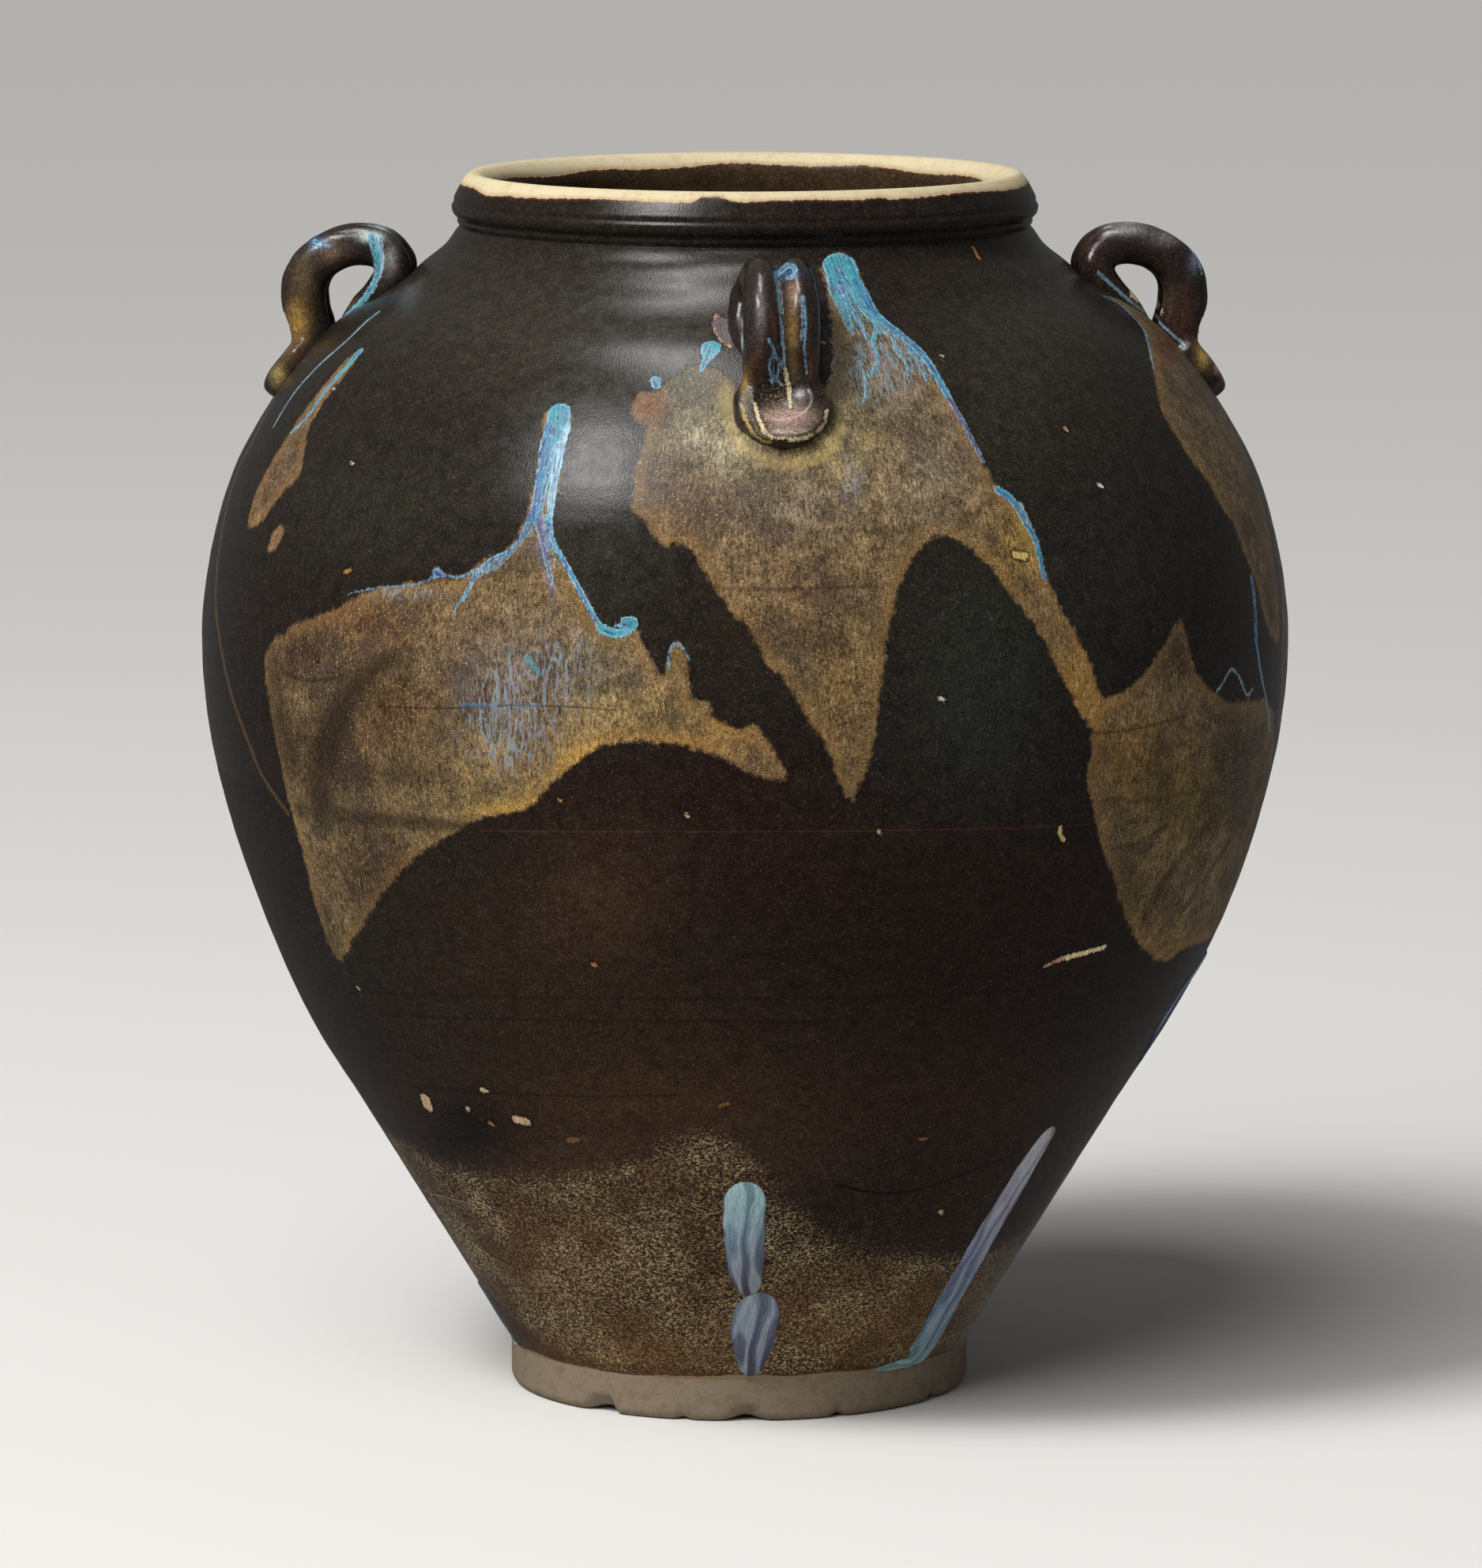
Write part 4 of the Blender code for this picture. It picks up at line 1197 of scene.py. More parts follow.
@dataclass(frozen=True)
class ReductionGlaze:
    """A stoneware glaze rich in iron, fired in smoke: black-brown, glossy and a little uneven.

    Where rutile and cobalt were splashed over it, it breaks into ochre with fibres that ran
    down the wall, and into thin blue-white runs. Where it was wiped off, the clay is bare,
    sandy and matt. Sizes are in millimetres, and the grain is coarser than real grit, to show.
    """

    name: str
    clay: str = "#d9caa5"
    clay_dark: str = "#a98c62"
    gloss: float = 0.24
    shine: float = 0.165
    grain: float = 0.62
    fibre: float = 0.30
    mottle: float = 4.5
    edge_soft: float = 0.9
    toast: str = "#8d6a44"
    clay_line: str = "#5d3420"
    dust: str = "#5d4d39"
    # Painted shade for the rim of each chip's pit
    burnt: str = "#120d0b"
    pore: str = "#2b1d12"
    violet: str = "#5a4a48"
    cream: str = "#b8a57c"
    tan: str = "#7c5d38"
    gold: tuple[float, ...] = (1.55, 1.30, 0.95, 1.0)
    ice: str = "#8fb4c2"
    deep: str = "#232b52"
    rain_blue: str = "#7c949f"
    rain_lilac: str = "#847d88"

    def stroke(
        self, add: Adder, kind: str, tear: Node, ragged: float, low: float, high: float, shared: bool = False
    ) -> tuple[Node, Node, Node, Node]:
        """Draws the lines of one kind from what is painted on the mesh.

        Args:
            add: Adds a node.
            kind: The first word of the attributes' names.
            tear: The noise that tears the line's edge.
            ragged: How far it moves the edge.
            low: How far inside its edge the line starts to show.
            high: How far inside it covers.
            shared: Whether the last three are shares of the line's half width.

        Returns:
            How much the line covers, its colour, noise drawn out along it, and how far inside
            its torn edge a point lies.
        """
        way, reach, thread, tint = (
            add(PAINTED, (), {"attribute_name": f"{kind}_{part.name}"}) for part in fields(Strokes)
        )
        drawn = add(VECTORS, (thread.outputs["Vector"], (1.5, 0.13, 1.0)), MULTIPLY)
        streaks = add(NOISE, {"Vector": drawn, "Scale": 1.0, "Detail": 2.5})
        parts = add(PARTS, (way.outputs["Vector"],)).outputs
        away = add(VECTORS, (add(JOINED, (parts[0], parts[1])),), LENGTH)
        near = add(MATHS, (parts[2], away), SUBTRACT)
        capped = add(MATHS, (reach.outputs["Fac"], 1.1), ADD)
        inside = add(MATHS, (near, capped), LOWER)
        if shared:
            inside = add(MATHS, (inside, parts[2]), DIVIDE)
        torn = add(MATHS, (tear, ragged, inside), FOLLOW)
        mask = add(RANGE, (torn, low + ragged / 2, high + ragged / 2), SMOOTH)
        cover = add(MATHS, (mask, tint.outputs["Alpha"]), MULTIPLY)
        return cover, tint, streaks, torn

    def dark_coat(self, add: Adder, place: Node, broad: Node, grains: Node) -> Node:
        """Colours the dark glaze: clouded, dappled with brown, and speckled low on the jar.

        Args:
            add: Adds a node.
            place: The place on the jar in millimetres.
            broad: Noise as wide as the mottling.
            grains: Noise as fine as the grain.

        Returns:
            The colour.
        """
        ground = add(PAINTED, (), {"attribute_name": "ground"})
        pale = add(PAINTED, (), {"attribute_name": "pale"}).outputs["Fac"]
        flat = add(VECTORS, (place, (1.0, 1.0, 1.5)), MULTIPLY)
        dapples = add(NOISE, {"Vector": place, "Scale": 0.62, "Detail": 4.0, "Roughness": 0.7})
        worms = add(NOISE, {
            "Vector": flat, "Scale": 1.15, "Detail": 4.0, "Roughness": 0.65, "Distortion": 0.7,
        })
        crowds = add(NOISE, {"Vector": place, "Scale": 0.05, "Detail": 4.0})
        sanded = shaded(add, ground, (broad, 0.3, 0.7, 0.80, 1.48), (grains, 0.3, 0.7, 0.50, 1.58))
        lit = add(RANGE, (dapples, 0.50, 0.68, 0.0, 0.55), SMOOTH)
        dappled = add(BLEND, {0: lit, 6: sanded, 7: (2.3, 1.9, 1.6, 1.0)}, TINTED)
        dusted = layered(add, dappled, (grains, 0.63, 0.72, 0.50, self.dust))
        shades = add(RANGE, (worms, 0.42, 0.55, 0.68, 1.50), SMOOTH)
        mottled = add(BLEND, {0: pale, 6: dusted, 7: shades}, TINTED)
        crowd = add(RANGE, (crowds, 0.35, 0.65, 0.90, 1.0))
        thick = add(MATHS, (crowd, pale), MULTIPLY)
        wormed = add(MATHS, (thick, 0.14, worms), FOLLOW)
        spotted = add(RANGE, (wormed, 0.64, 0.73, 0.0, 0.90), SMOOTH)
        gated = add(MATHS, (spotted, thick), MULTIPLY)
        milky = add(RANGE, (crowds, 0.36, 0.66, 0.15, 0.85), SMOOTH)
        spot = add(BLEND, {0: milky, 6: linear(self.tan), 7: linear(self.cream)}, COLOURS)
        return add(BLEND, {0: gated, 6: mottled, 7: spot}, COLOURS)

    def splash_coat(
        self, add: Adder, place: Node, flow: NodeSocket, broad: Node, fibres: Node, grains: Node, depth: Node
    ) -> Node:
        """Colours the ochre splashes: fibrous, flecked with cream that is partly painted glints, with pale
        blue streaks.

        Args:
            add: Adds a node.
            place: The place on the jar in millimetres.
            flow: The coordinates that run down the wall.
            broad: Noise as wide as the mottling.
            fibres: Noise drawn out down the wall.
            grains: Noise as fine as the grain.
            depth: How far inside the splash's torn edge a point lies.

        Returns:
            The colour.
        """
        patch = add(PAINTED, (), {"attribute_name": "patch"})
        rain = add(PAINTED, (), {"attribute_name": "rain"}).outputs["Fac"]
        drifts = add(NOISE, {
            "Vector": place, "Scale": 0.055, "Detail": 4.0, "Roughness": 0.6, "Distortion": 0.4,
        })
        specks = add(NOISE, {"Vector": place, "Scale": 2.6, "Detail": 2.0, "Roughness": 0.6})
        tone = shaded(
            add, patch, (fibres, 0.28, 0.72, 0.28, 1.56), (broad, 0.32, 0.68, 0.58, 1.42),
            (drifts, 0.35, 0.65, 0.55, 1.34),
        )
        gilded = add(BLEND, {0: 1.0, 6: patch, 7: self.gold}, TINTED)
        edged = layered(add, tone, (drifts, 0.50, 0.36, 0.18, self.violet), (depth, 9.0, 3.4, 0.45, gilded))
        gritty = shaded(add, edged, (specks, 0.3, 0.7, 0.36, 1.72))
        # The cream flecks are partly the glaze's own flecks and partly painted glints.
        flecks_and_glints = layered(
            add, gritty, (grains, 0.44, 0.34, 0.65, self.pore), (grains, 0.60, 0.72, 0.60, self.cream)
        )

        falls = add(VECTORS, (flow, (3.0, 3.0, 0.30)), MULTIPLY)
        winding = add(VECTORS, (flow, (1.0, 1.0, 0.20)), MULTIPLY)
        drops = add(NOISE, {"Vector": falls, "Scale": 1.0, "Detail": 2.0})
        hues = add(NOISE, {"Vector": falls, "Scale": 0.4, "Detail": 1.0})
        eddies = add(NOISE, {"Vector": winding, "Scale": 0.42, "Detail": 2.0, "Distortion": 0.35})
        fallen = add(MATHS, (rain, 0.15, drops), FOLLOW)
        streaked = add(RANGE, (fallen, 0.62, 0.74, 0.0, 0.68), SMOOTH)
        middle = add(MATHS, (eddies, 0.5), SUBTRACT)
        apart = add(MATHS, (middle,), {"operation": "ABSOLUTE"})
        veins = add(RANGE, (apart, 0.045, 0.012, 0.0, 0.60), SMOOTH)
        drawn = add(MATHS, (streaked, veins), HIGHER)
        shown = add(RANGE, (rain, 0.08, 0.65), SMOOTH)
        rained = add(MATHS, (drawn, shown), MULTIPLY)
        drop = layered(add, linear(self.rain_lilac), (hues, 0.42, 0.58, 1.0, self.rain_blue))
        return add(BLEND, {0: rained, 6: flecks_and_glints, 7: drop}, COLOURS)

    def clay_coat(self, add: Adder, depth: Node, broad: Node, grains: Node) -> Node:
        """Colours the bare clay: sandy, stained, and toasted beside the glaze.

        Args:
            add: Adds a node.
            depth: How deep in bare clay a point lies, with its edge torn.
            broad: Noise as wide as the mottling.
            grains: Noise as fine as the grain.

        Returns:
            The colour.
        """
        return layered(
            add, linear(self.clay), (grains, 0.58, 0.72, 0.75, self.clay_dark),
            (broad, 0.45, 0.75, 0.42, self.clay_dark), (depth, 2.6, 0.9, 0.45, self.toast),
        )

    def make(self) -> Material:
        """Builds the material from its coats.

        Returns:
            The material.
        """
        material, add = new_material(self.name)
        flow = add(PAINTED, (), {"attribute_name": "flow"}).outputs["Vector"]
        splash = add(PAINTED, (), {"attribute_name": "splash"}).outputs["Fac"]
        bare = add(PAINTED, (), {"attribute_name": "bare"}).outputs["Fac"]
        spot = add("ShaderNodeTexCoord").outputs["Object"]
        place = add(VECTORS, (spot, (1000.0, 1000.0, 1000.0)), MULTIPLY)
        drawn = add(VECTORS, (flow, (1.0, 1.0, self.fibre)), MULTIPLY)
        waves = add(NOISE, {"Vector": flow, "Scale": 0.32, "Detail": 3.0, "Roughness": 0.6})
        broad = add(NOISE, {"Vector": place, "Scale": 1 / self.mottle, "Detail": 4.0, "Roughness": 0.65})
        fibres = add(NOISE, {"Vector": drawn, "Scale": 1 / self.grain, "Detail": 3.0, "Roughness": 0.55})
        grains = add(NOISE, {"Vector": place, "Scale": 1 / self.grain, "Detail": 3.0, "Roughness": 0.5})
        lace = add(NOISE, {"Vector": place, "Scale": 0.9, "Detail": 5.0, "Distortion": 1.2})

        wave = add(MATHS, (waves, 4.0, splash), FOLLOW)
        edge = add(MATHS, (fibres, 1.8, wave), FOLLOW)
        inside = add(RANGE, (edge, 2.9 - self.edge_soft, 2.9 + self.edge_soft), SMOOTH)
        dark = self.dark_coat(add, place, broad, grains)
        ochre = self.splash_coat(add, place, flow, broad, fibres, grains, edge)
        coat = add(BLEND, {0: inside, 6: dark, 7: ochre}, COLOURS)
        folded, fold, _, _ = self.stroke(add, "fold", broad, 1.1, -0.15, 0.85, True)
        creased = add(BLEND, {0: folded, 6: coat, 7: fold}, COLOURS)

        run, tint, streaks, depth = self.stroke(add, "run", lace, 1.7, -0.15, 0.40)
        deep = layered(
            add, tint, (broad, 0.46, 0.60, 0.50, Tint.LILAC.value), (streaks, 0.52, 0.38, 0.75, self.deep)
        )
        icy = add(RANGE, (lace, 0.55, 0.68, 0.0, 0.65), SMOOTH)
        rim = add(RANGE, (depth, 1.70, 1.15, 0.0, 0.95), SMOOTH)
        patchy = add(RANGE, (fibres, 0.38, 0.60), SMOOTH)
        broken = add(MATHS, (rim, patchy), MULTIPLY)
        light = add(MATHS, (broken, icy), HIGHER)
        blue = add(BLEND, {0: light, 6: deep, 7: linear(self.ice)}, COLOURS)
        glazed = add(BLEND, {0: run, 6: creased, 7: blue}, COLOURS)

        chipped, chip, _, pit = self.stroke(add, "chip", lace, 2.6, -0.10, 0.35)
        # A dark ring inside each chip's edge, round its pale core, is painted shade of the pit's rim.
        ringed = add(RANGE, (pit, 0.3, 1.0, 0.0, 0.7), SMOOTH)
        ring = add(MATHS, (ringed, chip.outputs["Alpha"]), MULTIPLY)
        burnt = add(BLEND, {0: ring, 6: glazed, 7: linear(self.burnt)}, COLOURS)
        rubble = shaded(add, chip, (fibres, 0.3, 0.7, 0.45, 1.35))
        flawed = add(BLEND, {0: chipped, 6: burnt, 7: rubble}, COLOURS)
        torn = add(MATHS, (waves, 1.6, bare), FOLLOW)
        worn = add(RANGE, (torn, 0.70, 0.95), SMOOTH)
        lined = layered(add, flawed, (torn, 0.0, 0.75, 0.8, self.clay_line))
        clay = self.clay_coat(add, torn, broad, grains)
        surface = add(BLEND, {0: worn, 6: lined, 7: clay}, COLOURS)

        matt = add(RANGE, (broad, 0.3, 0.7, self.gloss - 0.04, self.gloss + 0.07))
        dull = add(MATHS, (inside, 0.10, matt), FOLLOW)
        rubbed = add(MATHS, (worn, chipped), HIGHER)
        rough = add(RANGE, (rubbed, 0.0, 1.0, dull, 0.85))
        height = add(MATHS, (inside, 0.07), MULTIPLY)
        for relief, rise in (
            (fibres, 0.035), (grains, 0.045), (run, 0.16), (chipped, -0.30), (folded, -0.05), (worn, -0.25),
        ):
            height = add(MATHS, (relief, rise, height), FOLLOW)
        dress(add, surface, height, rough, self.shine)
        return material


@dataclass(frozen=True)
class OpalGlaze:
    """Thick opalescent glaze: milky blue, swirled with violet where it ran, soft in its gloss."""

    name: str = "opal_blue_glaze"
    milk: str = "#a3b4ba"
    ink: str = "#35364f"

    def make(self) -> Material:
        """Builds the material from its swirls and streaks.

        Returns:
            The material.
        """
        material, add = new_material(self.name)
        thread = add(PAINTED, (), {"attribute_name": "thread"}).outputs["Vector"]
        tint = add(PAINTED, (), {"attribute_name": "tint"})
        drawn = add(VECTORS, (thread, (1.0, 0.12, 1.0)), MULTIPLY)
        rolled = add(VECTORS, (thread, (1.0, 0.26, 1.0)), MULTIPLY)
        swirls = add("ShaderNodeTexWave", {
            "Vector": rolled, "Scale": 0.055, "Distortion": 8.0, "Detail": 1.0, "Detail Scale": 2.4,
        })
        streaks = add(NOISE, {"Vector": drawn, "Scale": 1.7, "Detail": 4.0, "Distortion": 0.35})
        bubbles = add(NOISE, {"Vector": thread, "Scale": 1.8, "Detail": 2.0})
        deep = layered(add, tint, (swirls, 0.62, 1.0, 0.42, self.milk), (swirls, 0.36, 0.04, 0.45, self.ink))
        surface = shaded(add, deep, (bubbles, 0.3, 0.7, 0.78, 1.22), (streaks, 0.35, 0.65, 0.80, 1.20))
        height = add(MATHS, (streaks, 0.12), MULTIPLY)
        dress(add, surface, height, 0.36, 0.3)
        return material


# The sub-assemblies


@dataclass
class ThrownBody:
    """The wheel-thrown body: the slab foot, the two walls and the neck ring with its lip."""

    outline: JarOutline
    glaze: GlazeMap
    turns: int = 720
    crowding: float = 0.30
    ridge_depth: float = 0.55 * MM
    ridge_spacing: float = 9.0 * MM
    ridge_least: float = 0.02
    ridges_top: Pair = (0.345, 0.300)
    ridges_foot: Pair = (0.010, 0.020)
    hub: float = 0.03
    foot_bevel: float = 3.0 * MM
    neck_hollow: float = 1.3 * MM
    glaze_foot: float = 1.2
    foot_waves: Rows = ((3, 0.6, 0.7), (7, 2.0, 0.5), (17, 1.1, 0.35))
    lip_outer_waves: Rows = ((2, 0.4, 0.5), (9, 0.0, 0.4))
    lip_inner_waves: Rows = ((3, 2.2, 0.7), (11, 1.0, 0.5))
    lip_bare_from: float = 15.0
    lip_bare_to: float = 27.3
    lip_bites: Rows = (
        (-0.105, 0.055, 2.2), (-0.15, 0.02, 1.0), (-1.10, 0.09, -1.4), (0.47, 0.04, 0.8), (2.3, 0.05, 3.0),
    )
    lip_grooves: Pairs = ((371.0 * MM, 0.8 * MM), (376.0 * MM, 0.6 * MM))
    groove_wide: float = 0.9 * MM
    groove_from: float = 88.0 * MM
    neck_rows: tuple[int, int, int] = (24, 74, 14)
    foot_chips: Rows = (
        (-0.66, 0.06, 2.6), (-0.60, 0.025, 1.6), (0.03, 0.07, 2.2), (1.02, 0.04, 1.4), (2.4, 0.06, 2.2),
        (-2.1, 0.05, 2.0), (-0.25, 0.03, 1.0), (0.45, 0.03, 1.2),
    )
    chips_from: float = 0.045
    chip_heights: Pair = (7.0 * MM, 1.0 * MM)
    chip_radii: Pair = (0.060, 0.072)
    chip_lift: float = 0.8
    speckle_heights: Pair = (0.150, 0.060)
    speckle_depths: Pair = (-8.0, 6.0)
    speckle_side: float = 1.3
    speckle_front: float = 0.35
    flow_radius: float = 130.0
    tree: GeometryNodeTree = field(default_factory=turned_tree)
    loops: list[Array] = field(init=False)
    lines: dict[str, list[tuple[Array, Run]]] = field(init=False)

    def __post_init__(self) -> None:
        """Puts the splashes' outlines and the lines of glaze on the jar."""
        view = self.glaze.view
        self.loops = splash_outlines(view, self.outline)
        self.lines = {
            kind: [(view.seen(run.line, self.outline), run) for run in front]
            + [(round_side(run.line), run) for run in back]
            for kind, front, back in (
                ("run", BLUE_RUNS, BACK_RUNS), ("fold", FOLDS, BACK_FOLDS), ("chip", CHIPS, BACK_CHIPS),
            )
        }

    def turn(self, name: str, profile: Array) -> Mesh:
        """Turns a profile about Z, with the throwing ridges, and chips the foot.

        Args:
            name: The mesh's name.
            profile: Radii and heights that run up the outside.

        Returns:
            The turned mesh, not yet leaning.
        """
        radius, height = profile.T
        share = soft_step(height, *self.ridges_top) * (1 - self.ridge_least) + self.ridge_least
        share *= soft_step(height, *self.ridges_foot) * (radius > self.hub)
        mesh = grown(name, np.stack([radius, share, height], axis=1), None, self.tree, {
            "Turns": self.turns, "Rows": len(profile), "Crowding": self.crowding,
            "Ridge Depth": self.ridge_depth, "Ridge Spacing": self.ridge_spacing, "Seed": 7.0,
        })
        mesh.set_sharp_from_angle(angle=math.radians(50))
        points = places_of(mesh)
        angle = np.arctan2(points[:, 0], -points[:, 1])
        radius = np.hypot(points[:, 0], points[:, 1])
        low = soft_step(points[:, 2], *self.chip_heights) * (radius > self.chips_from)
        for turn, wide, deep in self.foot_chips:
            bite = deep * MM * np.exp(-(((angle - turn) / wide) ** 2)) * low
            points[:, :2] *= (1 - bite / self.outline.foot_radius)[:, None]
            points[:, 2] += self.chip_lift * bite * soft_step(radius, *self.chip_radii)
        place_all(mesh, points)
        return mesh

    def paint(self, mesh: Mesh, bare: Callable[[Skin], Array] | float) -> None:
        """Stores the glaze pattern on a mesh that stands upright, then lets it lean.

        Args:
            mesh: The mesh.
            bare: Tells how deep in bare clay each point lies, in millimetres, or says it for all.
        """
        points = places_of(mesh)
        skin = self.glaze.skin(points)
        outer = skin.radius > self.outline.radius_at(skin.height) - 3 * MM
        around = np.stack([np.sin(skin.angle), -np.cos(skin.angle)], axis=1) * self.flow_radius
        ground = self.glaze.toned(skin, "#1a1512", GROUND_TONES)
        ground[~outer] = linear("#31261a")
        store(
            mesh, flow=np.column_stack([around, skin.arc / MM]), ground=ground,
            bare=bare(skin) if callable(bare) else np.full(len(points), bare),
            splash=np.where(outer, self.glaze.depth(skin, self.loops), -FAR), pale=self.pale(skin),
            patch=self.glaze.toned(skin, "#66543a", SPLASH_TONES), rain=self.glaze.rain(skin),
        )
        for kind, lines in self.lines.items():
            self.glaze.laid(skin, lines).store(mesh, kind, outer)
        points[:, 0] += self.outline.lean_at(points[:, 2])
        place_all(mesh, points)

    def pale(self, skin: Skin) -> Array:
        """Finds how thickly the pale speckles lie, which is mostly low on the jar.

        Args:
            skin: The points.

        Returns:
            A share for each.
        """
        low = soft_step(skin.height, *self.speckle_heights)
        loop = smooth_through(self.glaze.view.seen(PALE_ZONE, self.outline), 2, True)
        inside = soft_step(self.glaze.depth(skin, [loop]), *self.speckle_depths)
        side = np.abs(skin.angle) > self.speckle_side
        return np.maximum(inside, np.where(side, low, low * self.speckle_front))

    def foot_line(self, skin: Skin) -> Array:
        """Finds how far below the glaze's lower edge each point lies."""
        edge = self.outline.arc_at(np.array(self.outline.foot_height)) / MM + self.glaze_foot
        return edge + rippled(skin.angle, self.foot_waves) - skin.arc / MM

    def lip_band(self, skin: Skin) -> Array:
        """Finds how deep in the lip's bare band each point lies.

        Args:
            skin: The points.

        Returns:
            The depth in millimetres.
        """
        line = np.vstack([self.outline.lip, self.outline.throat[1:]])
        along = lengths_along(line) / MM
        gap = np.hypot(skin.radius[:, None] - line[None, :, 0], skin.height[:, None] - line[None, :, 1])
        place = along[gap.argmin(axis=1)]
        outer = self.lip_bare_from + rippled(skin.angle, self.lip_outer_waves)
        for turn, wide, deep in self.lip_bites:
            outer += deep * np.exp(-(((skin.angle - turn) / wide) ** 2))
        inner = self.lip_bare_to + rippled(skin.angle, self.lip_inner_waves)
        return np.minimum(place - outer, inner - place)

    def slab_profile(self) -> Array:
        """Draws the slab from the middle of its underside, round its edge, to its top.

        Returns:
            Radii and heights.
        """
        radius, height, bevel = self.outline.foot_radius, self.outline.foot_height, self.foot_bevel
        corner = [
            (radius - bevel * (1 - math.sin(turn)), bevel * (1 - math.cos(turn)))
            for turn in np.linspace(0.0, math.pi / 2, 6)
        ]
        under = [(out, 0.0) for out in np.linspace(0.0, radius - bevel, 12)[:-1]]
        side = [(radius, z) for z in np.linspace(bevel, height, 10)[1:]]
        top = [(out, height) for out in np.linspace(radius, 0.0, 10)[1:]]
        return np.array(under + corner + side + top)

    def wall_profile(self, low: float, high: float, rows: int) -> Array:
        """Draws a wall's section between two heights of the outside."""
        outer = self.outline.between(low, high, rows)
        inside = self.outline.inside_between(low, high, 9)[::-1]
        inside[:, 1] = np.maximum(inside[:, 1], self.outline.foot_height)
        return np.vstack([outer, inside, outer[:1]])

    def neck_profile(self) -> Array:
        """Draws the hollow of the neck, the grooved lip and the throat.

        Returns:
            Radii and heights.
        """
        neck_rows, lip_rows, throat_rows = self.neck_rows
        neck = self.outline.between(self.outline.shoulder_height, self.outline.lip[0][1], neck_rows)
        neck[:, 0] -= self.neck_hollow * np.sin(np.linspace(0.0, math.pi, len(neck))) ** 2
        lip = respaced(self.outline.lip, lip_rows)[1:]
        for height, depth in self.lip_grooves:
            groove = np.exp(-(((lip[:, 1] - height) / self.groove_wide) ** 2))
            lip[:, 0] -= depth * groove * (lip[:, 0] > self.groove_from)
        return np.vstack([neck, lip, respaced(self.outline.throat, throat_rows)[1:], neck[:1]])

    def build(self, finishes: dict[str, Material]) -> None:
        """Makes the four turned pieces and puts them in the scene.

        Args:
            finishes: The materials by slot.
        """
        foot, seam, shoulder = (
            self.outline.foot_height, self.outline.seam_height, self.outline.shoulder_height
        )
        for name, node, slot, profile, bare in (
            ("foot_slab", "base_slab", "bare_clay", self.slab_profile(), FAR),
            ("lower_bowl", "lower_wall", "brown_glaze", self.wall_profile(foot, seam, 124), self.foot_line),
            ("upper_bowl", "upper_wall", "splashed_glaze", self.wall_profile(seam, shoulder, 125), -FAR),
            ("neck_and_lip", "neck_ring", "dark_glaze", self.neck_profile(), self.lip_band),
        ):
            mesh = self.turn(name, profile)
            self.paint(mesh, bare)
            show(name, mesh, slot, finishes[slot], [node])


LOOP_SHARES: Rows = (
    (-0.07, 0.19, 0.84, 0.86), (-0.11, 0.42, 0.50, 0.88), (-0.05, 0.68, 0.18, 0.94),
    (0.14, 0.90, 0.03, 0.99), (0.34, 1.00, 0.00, 1.02), (0.52, 0.98, 0.00, 1.05),
    (0.67, 0.81, 0.00, 1.08), (0.79, 0.49, 0.00, 1.08), (0.90, 0.14, 0.00, 1.08),
    (1.14, -0.42, 0.00, 1.08),
)
TAIL_SHARES: Rows = (
    (0.62, -0.40, 0.95, 0.66), (0.37, -0.17, 1.00, 0.78), (0.15, -0.02, 1.00, 0.84),
)
FRONT_LUG_TONES: tuple[Tone, ...] = (
    # The second cloud on this line, a narrow grey streak down the near strand, is a painted sheen.
    Tone(960, 400, 20, 60, "#2a2422", 0.9), Tone(963, 395, 7, 34, "#5b5654", 0.75),
    Tone(980, 420, 5, 26, "#4c3220"), Tone(1003, 430, 8, 60, "#5c482b", 0.95),
    Tone(1004, 370, 9, 20, "#6b5648"), Tone(1028, 420, 9, 60, "#2b211c", 0.85),
    Tone(996, 345, 20, 9, "#1f3450", 0.9), Tone(962, 345, 18, 10, "#2a1f1b", 0.9),
    Tone(960, 460, 12, 26, "#4a3022"), Tone(1030, 462, 12, 24, "#3c281c"),
    Tone(943, 488, 7, 22, "#6e5832", 0.95), Tone(1051, 486, 6, 20, "#735a32", 0.95),
    Tone(995, 494, 48, 15, "#141012", 1.0), Tone(995, 530, 42, 17, "#8d776c", 1.0),
    # The second cloud on this line, dark under the pad's lower lip, is a painted shadow where the lip stands
    # off the shoulder.
    Tone(995, 547, 40, 6, "#9d8d82", 0.9), Tone(996, 562, 52, 8, "#241a12", 1.0),
)
RIGHT_LUG_TONES: tuple[Tone, ...] = (
    # The two grey clouds on this line, along the top of the loop, are a painted highlight.
    Tone(1430, 292, 34, 9, "#6c6a68"), Tone(1478, 304, 20, 10, "#605c5a", 0.75),
    Tone(1515, 335, 9, 14, "#50586a", 0.75), Tone(1457, 384, 18, 18, "#6d5330", 0.95),
    Tone(1385, 325, 14, 18, "#2c1713", 0.9), Tone(1500, 400, 18, 34, "#35201a", 0.9),
    Tone(1525, 450, 12, 24, "#7a6438", 0.9), Tone(1545, 470, 7, 7, "#b08a70", 0.9),
)
LEFT_LUG_TONES: tuple[Tone, ...] = (
    Tone(470, 300, 16, 7, "#b9c4c4", 0.9), Tone(404, 309, 12, 7, "#4f74a0", 0.9),
    Tone(494, 328, 10, 22, "#666462"), Tone(420, 320, 22, 18, "#5a4c3e", 0.85),
    Tone(385, 350, 18, 30, "#4f4230", 0.9), Tone(376, 405, 16, 28, "#7d6232", 0.95),
    Tone(365, 440, 12, 22, "#54432a", 0.9), Tone(352, 478, 10, 18, "#8f7c4e", 0.9),
    Tone(430, 385, 22, 12, "#4a3a28", 0.9),
)
